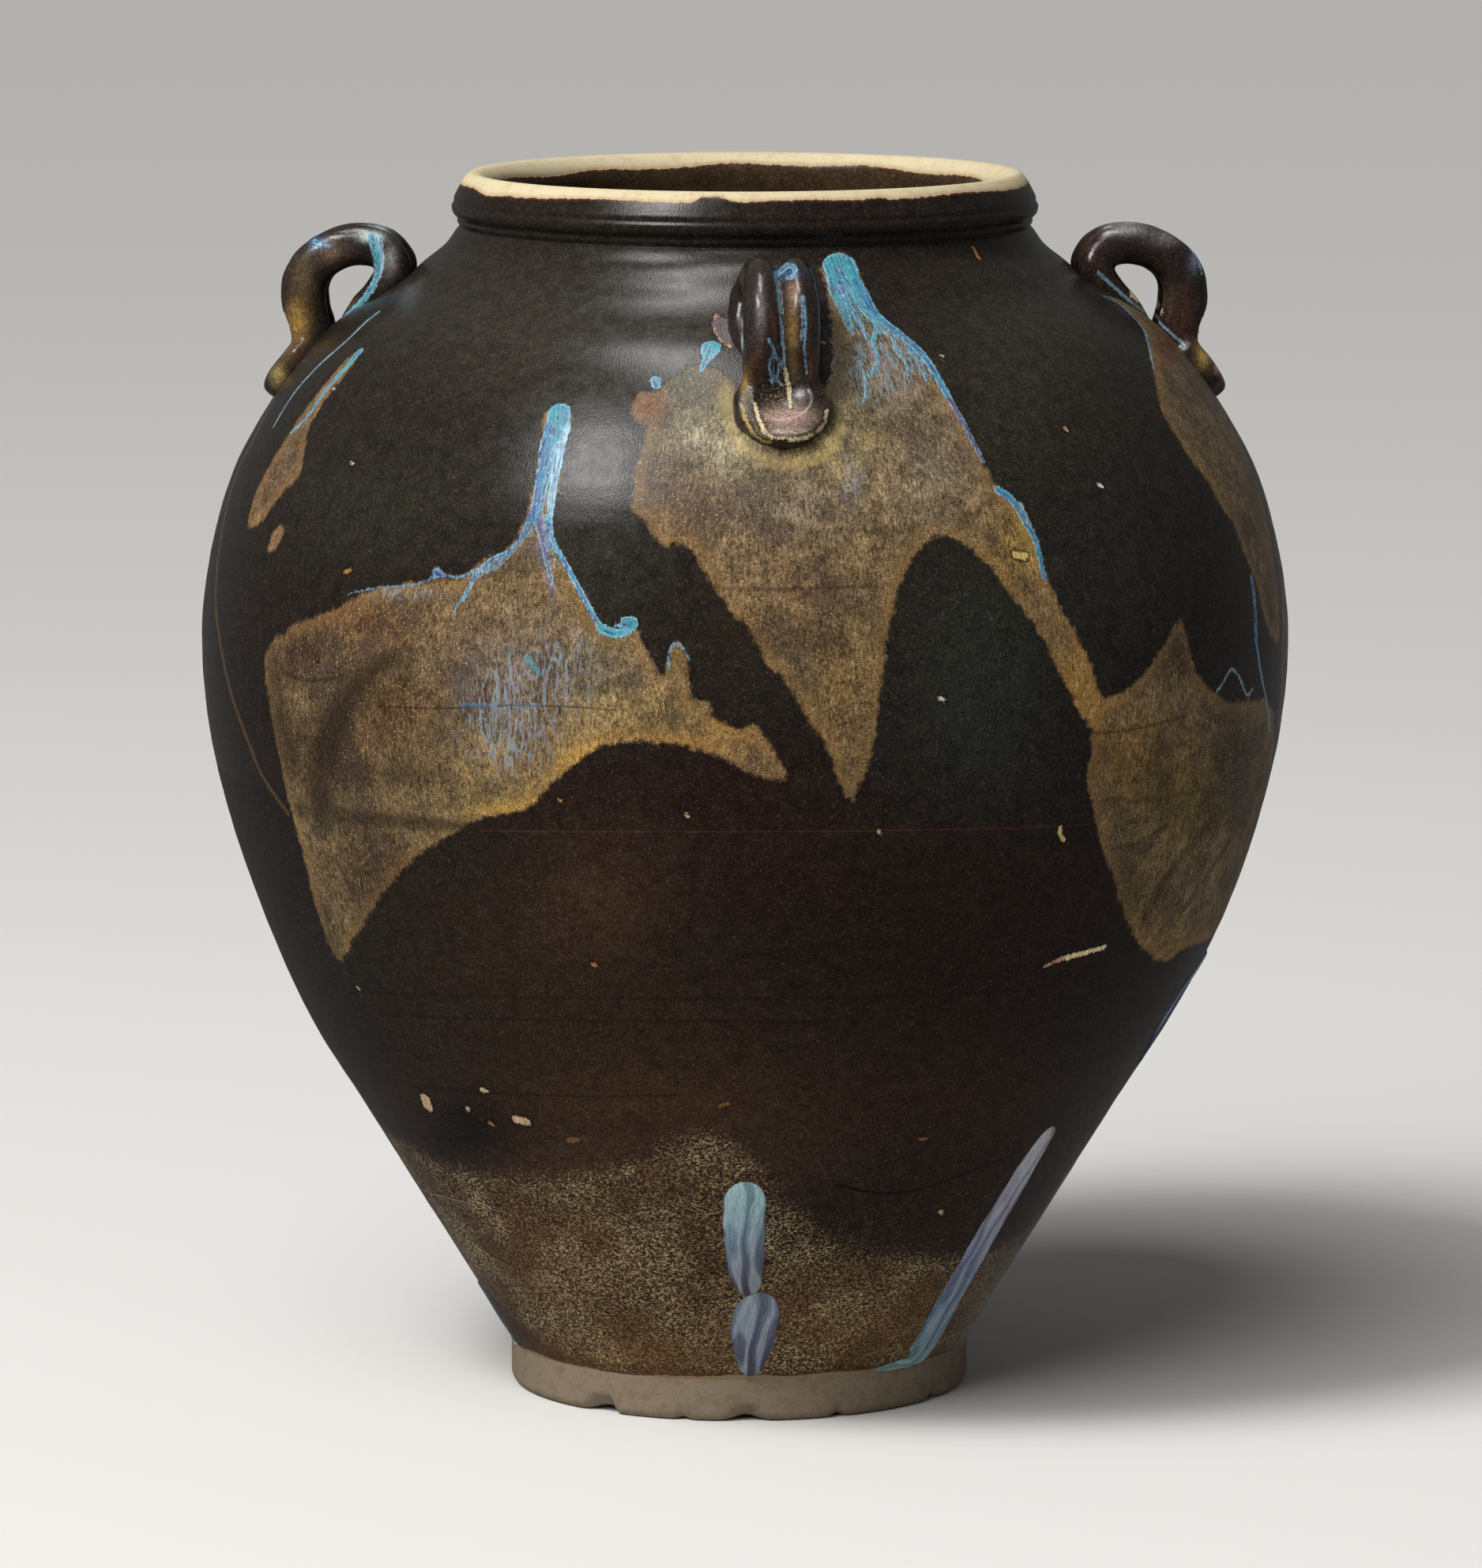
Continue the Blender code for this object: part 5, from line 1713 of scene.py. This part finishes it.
FRONT_LUG_LINES: tuple[Run, ...] = (
    Run(((982, 345), (986, 380), (990, 430), (994, 470)), 0.7, 0.5, Tint.ICE, 0.65),
    Run(((994, 468), (998, 492), (1000, 514)), 0.7, 0.8, Tint.CREAM, 0.7),
    Run(((973, 430), (980, 445), (974, 460), (977, 484)), 0.5, 0.5, Tint.SKY, 0.8),
    Run(((980, 444), (986, 462), (983, 478), (990, 488)), 0.4, 0.5, Tint.LILAC, 0.8),
    Run(((1017, 376), (1020, 410), (1018, 440), (1021, 472)), 0.5, 0.4, Tint.SKY, 0.6),
    Run(((1013, 380), (1016, 400), (1014, 430)), 0.4, 0.4, Tint.LILAC, 0.5),
    Run(((988, 344), (998, 336), (1006, 340), (1003, 350), (996, 352)), 1.0, 0.7, Tint.SKY, 0.9),
    Run(((956, 512), (959, 528), (966, 543)), 0.7, 0.8, Tint.CREAM, 0.8),
    Run(((966, 545), (978, 553), (992, 554)), 0.8, 0.5, Tint.CREAM, 0.7),
    Run(((1000, 556), (1016, 555), (1030, 549)), 0.8, 0.6, Tint.CREAM, 0.8),
    Run(((1036, 545), (1044, 534), (1047, 520)), 0.7, 0.5, Tint.CREAM, 0.75),
    Run(((938, 512), (945, 535), (958, 553), (975, 562)), 0.8, 0.5, Tint.YELLOW, 0.6),
)
SIDE_LUG_LINES: tuple[Run, ...] = (
    Run(((470, 300), (476, 322), (478, 345), (466, 372), (440, 400), (405, 435), (372, 480)),
        1.3, 0.8, Tint.TURQUOISE, 0.9),
    Run(((480, 300), (484, 330), (480, 352)), 0.8, 0.7, Tint.ICE, 0.8),
    Run(((398, 306), (408, 310), (418, 312)), 0.8, 0.5, Tint.SKY, 0.9),
    Run(((1390, 345), (1420, 372), (1455, 400), (1500, 438)), 0.6, 0.5, Tint.ICE, 0.45),
    Run(((1436, 372), (1452, 386), (1470, 398)), 1.5, 1.2, Tint.CREAM, 0.6),
    Run(((1510, 318), (1520, 334), (1524, 350)), 0.5, 0.4, Tint.SKY, 0.8),
)


@dataclass
class Lug:
    """A lug: two rolled strands looped side by side, their feet under a pad hollowed by a thumb.

    It is made at the front of its own frame, with the first axis outwards, then turned to its
    place. Its curve is given as shares of its span down the shoulder and of its lift off it.
    """

    outline: JarOutline
    glaze: GlazeMap
    name: str
    turn: float
    seen_from: float
    seed: float
    tones: tuple[Tone, ...]
    lines: tuple[Run, ...]
    base: str = "#1e1815"
    drop: float = 10.6 * MM
    span: float = 34.0 * MM
    lift: float = 18.7 * MM
    width: float = 10.8 * MM
    thickness: float = 13.1 * MM
    spread: float = 5.2 * MM
    pad_place: float = 1.16
    pad_wide: float = 30.2 * MM
    pad_long: float = 30.0 * MM
    pad_thick: float = 5.8 * MM
    pad_root: float = 8.0 * MM
    thumb_wide: float = 23.6 * MM
    thumb_long: float = 22.5 * MM
    thumb_thick: float = 17.0 * MM
    thumb_press: float = 3.0 * MM
    thumb_reach: float = 0.8
    pad_short: float = 0.8
    pad_blunt: float = 0.42
    sides: int = 28
    unevenness: float = 1.1 * MM
    rough_voxel: float = 0.75 * MM
    voxel: float = 0.6 * MM
    milky: float = 9.0 * MM

    def seat(self, down: float) -> tuple[Array, Array]:
        """Finds the outline's point and normal at a share of the span down from the root."""
        arc = self.outline.arc_at(np.array(self.outline.shoulder_height)) - self.drop - self.span * down
        height = self.outline.height_at(arc)
        return np.array([self.outline.radius_at(height), height]), self.outline.normal_at(height)

    def strand(self, side: int, tree: GeometryNodeTree) -> Mesh:
        """Sweeps one strand in the lug's own frame.

        Args:
            side: -1 for the near strand, 1 for the far one.
            tree: The strands' nodes.

        Returns:
            The strand.
        """
        squeeze = self.width / self.thickness
        keys = []
        for table, height in ((TAIL_SHARES, self.thickness), (LOOP_SHARES, self.lift)):
            for down, off, out, girth in table:
                seat, normal = self.seat(down)
                place = seat + normal * (height * off)
                aside = (self.width * girth) / 2 + self.spread * out
                keys.append((place[0], side * aside / squeeze, place[1], girth))
        path = smooth_through(np.array(keys), 6)
        return grown(self.name + "_strand", path[:, :3], path[:, 3], tree, {
            "Thickness": self.thickness, "Squeeze": squeeze, "Sides": self.sides,
            "Unevenness": self.unevenness, "Seed": self.seed + side,
        })

    def pad_frame(self) -> tuple[Array, Array]:
        """Finds the pad's middle, and its ways down the slope, across and outwards.

        Returns:
            The middle, and the ways as rows.
        """
        half = self.pad_long / 2 / self.span
        middle = self.seat(self.pad_place)[0]
        slope = self.seat(self.pad_place + half)[0] - self.seat(self.pad_place - half)[0]
        slope /= np.linalg.norm(slope)
        down = np.array([slope[0], 0.0, slope[1]])
        across = np.array([0.0, 1.0, 0.0])
        return np.array([middle[0], 0.0, middle[1]]), np.stack([down, across, np.cross(down, across)])

    def pad(self) -> Mesh:
        """Flattens a ball of clay into the tongue that holds the strands' feet.

        Returns:
            The pad in the lug's own frame.
        """
        ball = bmesh.new()
        bmesh.ops.create_uvsphere(ball, u_segments=64, v_segments=40, radius=1.0)
        mesh = bpy.data.meshes.new(self.name + "_pad")
        ball.to_mesh(mesh)
        ball.free()
        x, y, z = places_of(mesh).T
        middle, ways = self.pad_frame()
        long = np.where(x > 0, 1.0, self.pad_short) * self.pad_long / 2
        knobbly = 1 + rippled(np.arctan2(y, x), ((5, self.seed, 0.022), (11, 2 * self.seed, 0.015)))
        up = np.where(z > 0, self.pad_thick * np.abs(z) ** self.pad_blunt, self.pad_root * z)
        laid = np.stack([x * long * knobbly, y * self.pad_wide / 2 * knobbly, up], axis=1)
        place_all(mesh, middle + laid @ ways)
        return mesh

    def press(self, points: Array) -> Array:
        """Presses the thumb into the pad and the strands' feet.

        Args:
            points: The lug's points in its own frame.

        Returns:
            The pressed points.
        """
        middle, ways = self.pad_frame()
        laid = (points - middle) @ ways.T
        x, y = laid[:, 0] / (self.thumb_long / 2), laid[:, 1] / (self.thumb_wide / 2)
        away = np.clip(1 - x * x - y * y, 0.0, 1.0)
        floor = self.pad_thick - self.thumb_press + self.thumb_thick / 2 * (1 - np.sqrt(away))
        reach = self.pad_thick - self.thumb_press + self.thumb_thick * self.thumb_reach
        touched = (away > 0) & (laid[:, 2] > floor) & (laid[:, 2] < reach)
        laid[touched, 2] = floor[touched]
        return middle + laid @ ways

    def model(self, tree: GeometryNodeTree) -> Mesh:
        """Joins the strands and the pad into one lump of clay, and presses it.

        Args:
            tree: The strands' nodes.

        Returns:
            The lug in its own frame.
        """
        clay = bmesh.new()
        for part in (self.strand(-1, tree), self.strand(1, tree), self.pad()):
            clay.from_mesh(part)
            bpy.data.meshes.remove(part)
        mesh = bpy.data.meshes.new(self.name + "_clay")
        clay.to_mesh(mesh)
        clay.free()
        mesh = self.fused(mesh, self.rough_voxel, 3)
        place_all(mesh, self.press(places_of(mesh)))
        return self.fused(mesh, self.voxel, 2)

    def fused(self, mesh: Mesh, voxel: float, rounds: int) -> Mesh:
        """Fuses overlapping clay into one skin and smooths it a little.

        Args:
            mesh: The clay.
            voxel: The skin's fineness.
            rounds: How often it is smoothed.

        Returns:
            The skin.
        """
        mesh.materials.clear()
        lump = linked(self.name + "_lump", mesh)
        fuse = lump.modifiers.new("fuse", "REMESH")
        fuse.mode = "VOXEL"
        fuse.voxel_size = voxel
        fuse.use_smooth_shade = True
        smooth = lump.modifiers.new("smooth", "SMOOTH")
        smooth.factor = 0.5
        smooth.iterations = rounds
        return baked(lump, self.name)

    def turned(self, points: Array, degrees: float) -> Array:
        """Turns points about the jar's axis from the lug's own frame."""
        cosine, sine = math.cos(math.radians(degrees)), math.sin(math.radians(degrees))
        return points @ np.array([[cosine, sine, 0.0], [-sine, cosine, 0.0], [0.0, 0.0, 1.0]])

    def paint(self, mesh: Mesh) -> None:
        """Stores the glaze on the lug, with the painted sheen, highlight and shadow among its tones, as it
        shows from the side that the photograph took.

        Args:
            mesh: The lug in its own frame.
        """
        points = places_of(mesh)
        skin = self.glaze.skin(self.turned(points, self.seen_from))
        middle, ways = self.pad_frame()
        laid = (points - middle) @ ways.T
        none = np.full(len(points), -FAR)
        store(
            mesh, flow=points / MM, splash=none, bare=none, rain=none * 0,
            ground=self.glaze.toned(skin, self.base, self.tones),
            patch=self.glaze.toned(skin, "#6b5230", ()),
            pale=np.exp(-((laid[:, :2] / self.milky) ** 2).sum(axis=1)) * (laid[:, 2] < self.milky),
        )
        worn = [line for line in self.lines if line.tint in (Tint.CREAM, Tint.YELLOW)]
        blue = [line for line in self.lines if line not in worn]
        for kind, lines in (("run", blue), ("chip", worn), ("fold", ())):
            self.glaze.strokes(skin, lines).store(mesh, kind)

    def build(self, tree: GeometryNodeTree, finish: Material) -> None:
        """Makes the lug and puts it in the scene.

        Args:
            tree: The strands' nodes.
            finish: The lug's glaze.
        """
        mesh = self.model(tree)
        self.paint(mesh)
        place_all(mesh, self.turned(places_of(mesh), self.turn))
        nodes = [f"{self.name}_lug_{part}" for part in ("near_strand", "far_strand", "pad")]
        show(self.name + "_lug", mesh, "lug_glaze", finish, nodes)


@dataclass(frozen=True)
class ThickRun:
    """A thick tear of opalescent blue glaze that stands proud of the wall.

    Its line and half widths are given at the same points, and its colours from head to tail.
    """

    name: str
    line: Pairs
    halves: tuple[float, ...]
    colours: tuple[str, ...]
    rise: float = 0.9
    in_photo: bool = True
    sunk: float = 0.7
    thin: float = 0.12
    cap: float = 1.2
    rows: int = 150
    columns: int = 29
    blunt: float = 0.55

    def model(self, view: PhotoView, outline: JarOutline) -> Mesh:
        """Lays the run on the wall as a closed, domed ribbon.

        Args:
            view: The photograph's camera.
            outline: The jar's turned outline.

        Returns:
            The run, before the jar leans.
        """
        places = view.seen(self.line, outline) if self.in_photo else round_side(self.line)
        path = smooth_through(
            np.column_stack([places[:, 0], outline.arc_at(places[:, 1]), np.array(self.halves) * MM]), 12
        )
        radius = outline.radius_at(outline.height_at(path[:, 1]))
        flat = np.stack([np.cumsum(np.diff(path[:, 0], prepend=path[0, 0]) * radius), path[:, 1]], axis=1)
        lengths = lengths_along(flat)
        at = lengths[-1] * (0.5 - 0.5 * np.cos(np.linspace(0.0, math.pi, self.rows)))[:, None]
        angle, arc, half, across, up = (np.interp(at, lengths, values) for values in (*path.T, *flat.T))
        ahead = np.hstack([np.gradient(across, axis=0), np.gradient(up, axis=0)])
        ahead /= np.linalg.norm(ahead, axis=1)[:, None]
        ends = np.minimum(at / (half[0] * self.cap), (lengths[-1] - at) / (half[-1] * self.cap))
        taper = np.clip(ends, 0.0, 1.0)
        share = np.linspace(-1.0, 1.0, self.columns)[None, :]
        turn = at * 260.0
        wave = 1 + 0.03 * np.sin(turn * 0.9 + np.sign(share) * 1.7) + 0.02 * np.sin(turn * 2.3 + 2 * share)
        side = share * half * np.sqrt(1 - (1 - taper) ** 2) * wave
        theta = angle - ahead[:, 1:] * side / outline.radius_at(outline.height_at(arc))
        z = outline.height_at(arc + ahead[:, :1] * side)
        normal = outline.normal_at(z)
        swell = (1 - share ** 2) ** self.blunt * np.sqrt(taper) * self.rise
        swell *= 1 + 0.16 * np.sin(share * 9 + at * 150) * (1 - share ** 2)
        shells = []
        for lift in (swell - self.thin, np.full_like(swell, -self.sunk)):
            reach = outline.radius_at(z) + normal[..., 0] * lift * MM
            level = z + normal[..., 1] * lift * MM
            shells.append(np.stack([reach * np.sin(theta), -reach * np.cos(theta), level], axis=-1))
        mesh = self.stitched(np.vstack(shells).reshape(-1, 3))
        stops = np.array([linear(colour) for colour in self.colours])
        spread = np.linspace(0.0, lengths[-1], len(stops))
        tint = np.hstack([np.interp(at, spread, stops[:, axis]) for axis in range(4)])
        thread = np.stack([side, at + side * 0, side * 0], axis=-1).reshape(-1, 3) / MM
        tints = np.tile(np.repeat(tint, self.columns, axis=0), (2, 1))
        store(mesh, thread=np.tile(thread, (2, 1)), tint=tints)
        return mesh

    def stitched(self, points: Array) -> Mesh:
        """Joins two grids of points into one closed skin.

        Args:
            points: The top's, then the bottom's.

        Returns:
            The mesh.
        """
        columns, count = self.columns, self.rows * self.columns
        grid = np.arange(count).reshape(self.rows, columns)
        top = np.stack([grid[:-1, :-1], grid[:-1, 1:], grid[1:, 1:], grid[1:, :-1]], axis=-1).reshape(-1, 4)
        rim = np.concatenate([grid[0], grid[1:, -1], grid[-1, -2::-1], grid[-2:0:-1, 0]])
        after = np.roll(rim, -1)
        sides = np.stack([after, rim, rim + count, after + count], axis=1)
        mesh = bpy.data.meshes.new(self.name)
        mesh.from_pydata(points.tolist(), [], np.vstack([top, top[:, ::-1] + count, sides]).tolist())
        skin = bmesh.new()
        skin.from_mesh(mesh)
        bmesh.ops.recalc_face_normals(skin, faces=skin.faces)
        skin.to_mesh(mesh)
        skin.free()
        mesh.shade_smooth()
        return mesh

    def build(self, view: PhotoView, outline: JarOutline, finish: Material) -> None:
        """Makes the run and puts it in the scene.

        Args:
            view: The photograph's camera.
            outline: The jar's outline.
            finish: The run's glaze.
        """
        mesh = self.model(view, outline)
        points = places_of(mesh)
        points[:, 0] += outline.lean_at(points[:, 2])
        place_all(mesh, points)
        show(self.name, mesh, "brown_glaze", finish)


THICK_RUNS: tuple[ThickRun, ...] = (
    ThickRun("short_run", ((943, 1497), (943, 1530), (942, 1570), (944, 1605), (948, 1640)),
             (6.1, 6.4, 6.2, 5.6, 3.4), ("#8fb4b6", "#7a9ca8", "#6a7c90", "#57586c", "#41342c")),
    ThickRun("swirled_run", ((962, 1636), (958, 1665), (953, 1700), (949, 1742)),
             (5.0, 7.2, 6.6, 2.6), ("#6a7687", "#5e6478", "#525368", "#434354")),
    ThickRun("long_run", ((1333, 1426), (1310, 1462), (1275, 1520), (1240, 1580), (1203, 1645),
                          (1170, 1705), (1150, 1750)),
             (3.0, 4.8, 6.0, 6.3, 6.6, 6.6, 6.2),
             ("#a09a9c", "#8e8b98", "#7f7f96", "#747c98", "#70869c", "#7aa0a0")),
    ThickRun("foot_pool", ((1106, 1739), (1122, 1743), (1140, 1750), (1156, 1760)), (1.3, 2.2, 3.0, 2.0),
             ("#7fa19c", "#8db0aa", "#86a6a8"), 0.6),
    ThickRun("left_edge_run", ((600, 1622), (620, 1660), (640, 1695), (655, 1728)),
             (0.6, 0.9, 1.0, 0.8), ("#4c7078", "#55868a", "#6ea6a2"), 0.35),
    ThickRun("right_edge_run", ((1528, 1205), (1500, 1250), (1470, 1298), (1442, 1345)),
             (1.0, 1.8, 1.6, 0.8), ("#3d5a80", "#37527c", "#2c3c5c"), 0.4),
    ThickRun("back_run", ((150, 128), (149, 100), (147, 70), (146, 44)), (3.0, 5.0, 5.4, 3.2),
             ("#86b7c0", "#6d8fae", "#646b94", "#4a4560"), in_photo=False),
    ThickRun("back_long_run", ((-118, 152), (-124, 115), (-131, 75), (-136, 30)), (2.2, 4.0, 4.6, 4.4),
             ("#a39aa0", "#767196", "#6a7fa3", "#7aa3a6"), in_photo=False),
)


@dataclass(frozen=True)
class Studio:
    """A floor of pale matt paint and soft lights."""

    paint: str = "#dcdad6"
    floor_radius: float = 15.0
    floor_sides: int = 96
    world: float = 0.12
    sun_power: float = 2.1
    sun_turn: Place = (0.72, 0.0, -0.62)
    sun_size: float = 0.9
    key_power: float = 76.0
    key_size: Pair = (0.85, 0.85)
    key_place: Place = (-1.38, -1.38, 2.67)
    strip_power: float = 52.0
    strip_size: Pair = (1.7, 0.45)
    strip_place: Place = (-0.38, -0.10, 3.10)

    def floor(self) -> None:
        """Lays the floor, which catches the shadow but doesn't show in the glaze."""
        shape = bmesh.new()
        bmesh.ops.create_circle(shape, cap_ends=True, segments=self.floor_sides, radius=self.floor_radius)
        mesh = bpy.data.meshes.new("floor")
        shape.to_mesh(mesh)
        shape.free()
        material, add = new_material("studio_floor_paint")
        paint = add("ShaderNodeBsdfPrincipled", {
            "Base Color": linear(self.paint), "Roughness": 0.9, "Specular IOR Level": 0.1,
        })
        add("ShaderNodeOutputMaterial", {"Surface": paint})
        mesh.materials.append(material)
        floor = linked("floor", mesh)
        floor.visible_glossy = False

    def build(self) -> None:
        """Makes the floor and the lights."""
        self.floor()
        world = bpy.data.worlds.new("studio")
        world.use_nodes = True
        world.node_tree.nodes["Background"].inputs["Color"].default_value = (1.0, 1.0, 1.0, 1.0)
        world.node_tree.nodes["Background"].inputs["Strength"].default_value = self.world
        bpy.context.scene.world = world
        sun = bpy.data.lights.new("sun", "SUN")
        sun.energy = self.sun_power
        sun.angle = self.sun_size
        lamp = linked("sun", sun)
        lamp.rotation_euler = self.sun_turn
        lamp.visible_glossy = False
        self.softbox("key", self.key_power, self.key_size, self.key_place)
        strip = self.softbox("strip", self.strip_power, self.strip_size, self.strip_place)
        strip.visible_diffuse = False

    def softbox(
        self, name: str, power: float, size: Pair, place: Place
    ) -> Object:
        """Hangs a rectangular soft light that faces the jar.

        Args:
            name: The light's name.
            power: Its power in watts.
            size: Its width and depth in metres.
            place: Where it hangs.

        Returns:
            The light.
        """
        light = bpy.data.lights.new(name, "AREA")
        light.energy = power
        light.shape = "RECTANGLE"
        light.size, light.size_y = size
        box = linked(name, light)
        box.location = place
        aim = Vector((0.0, 0.0, 0.25)) - Vector(place)
        box.rotation_euler = aim.to_track_quat("-Z", "Y").to_euler()
        return box


def make_finishes() -> dict[str, Material]:
    """Makes a material for each slot.

    Returns:
        The materials by slot.
    """
    kinds = {
        # Fired stoneware clay, turned and left bare: dull, sandy and grey-brown
        "bare_clay": ReductionGlaze("fired_stoneware_clay", clay="#7c6f5d", clay_dark="#523f31"),
        # Tenmoku that thins towards the foot: brown, speckled with cream and only half glossy
        "brown_glaze": ReductionGlaze(
            "brown_tenmoku_glaze", gloss=0.30, shine=0.16, clay="#7f715c", clay_dark="#5f4c39"
        ),
        # Tenmoku under poured rutile and cobalt: black, with fibrous ochre splashes and blue runs
        "splashed_glaze": ReductionGlaze("splashed_tenmoku_glaze"),
        # Tenmoku wiped off the lip: black over the neck, with a pale sandy rim
        "dark_glaze": ReductionGlaze("dark_neck_glaze", clay="#c6b998"),
        # Tenmoku pooled thick on the rolled clay: wet-looking, broken to gold where it thins
        "lug_glaze": ReductionGlaze("pooled_lug_glaze", gloss=0.23, shine=0.30),
    }
    return {slot: kind.make() for slot, kind in kinds.items()}


def main() -> None:
    """Builds the jar piece by piece, then the studio round it."""
    logging.basicConfig(level=logging.INFO, format="%(name)s: %(message)s")
    bpy.context.scene.view_settings.view_transform = "Standard"
    outline = JarOutline()
    view = PhotoView()
    view.make_camera()
    finishes = make_finishes()
    glaze = GlazeMap(outline, view)
    ThrownBody(outline, glaze).build(finishes)
    opal = OpalGlaze().make()
    for run in THICK_RUNS:
        run.build(view, outline, opal)
    strands = strand_tree()
    for name, turn, seen_from, seed, tones, lines in (
        ("front", -85.5, -85.5, 1.0, FRONT_LUG_TONES, FRONT_LUG_LINES),
        ("right", 6.0, 6.0, 2.0, RIGHT_LUG_TONES, SIDE_LUG_LINES),
        ("back", 93.0, -85.5, 3.0, FRONT_LUG_TONES, FRONT_LUG_LINES),
        ("left", 176.0, 176.0, 4.0, LEFT_LUG_TONES, SIDE_LUG_LINES),
    ):
        Lug(outline, glaze, name, turn, seen_from, seed, tones, lines).build(strands, finishes["lug_glaze"])
    Studio().build()


if __name__ == "__main__":
    main()
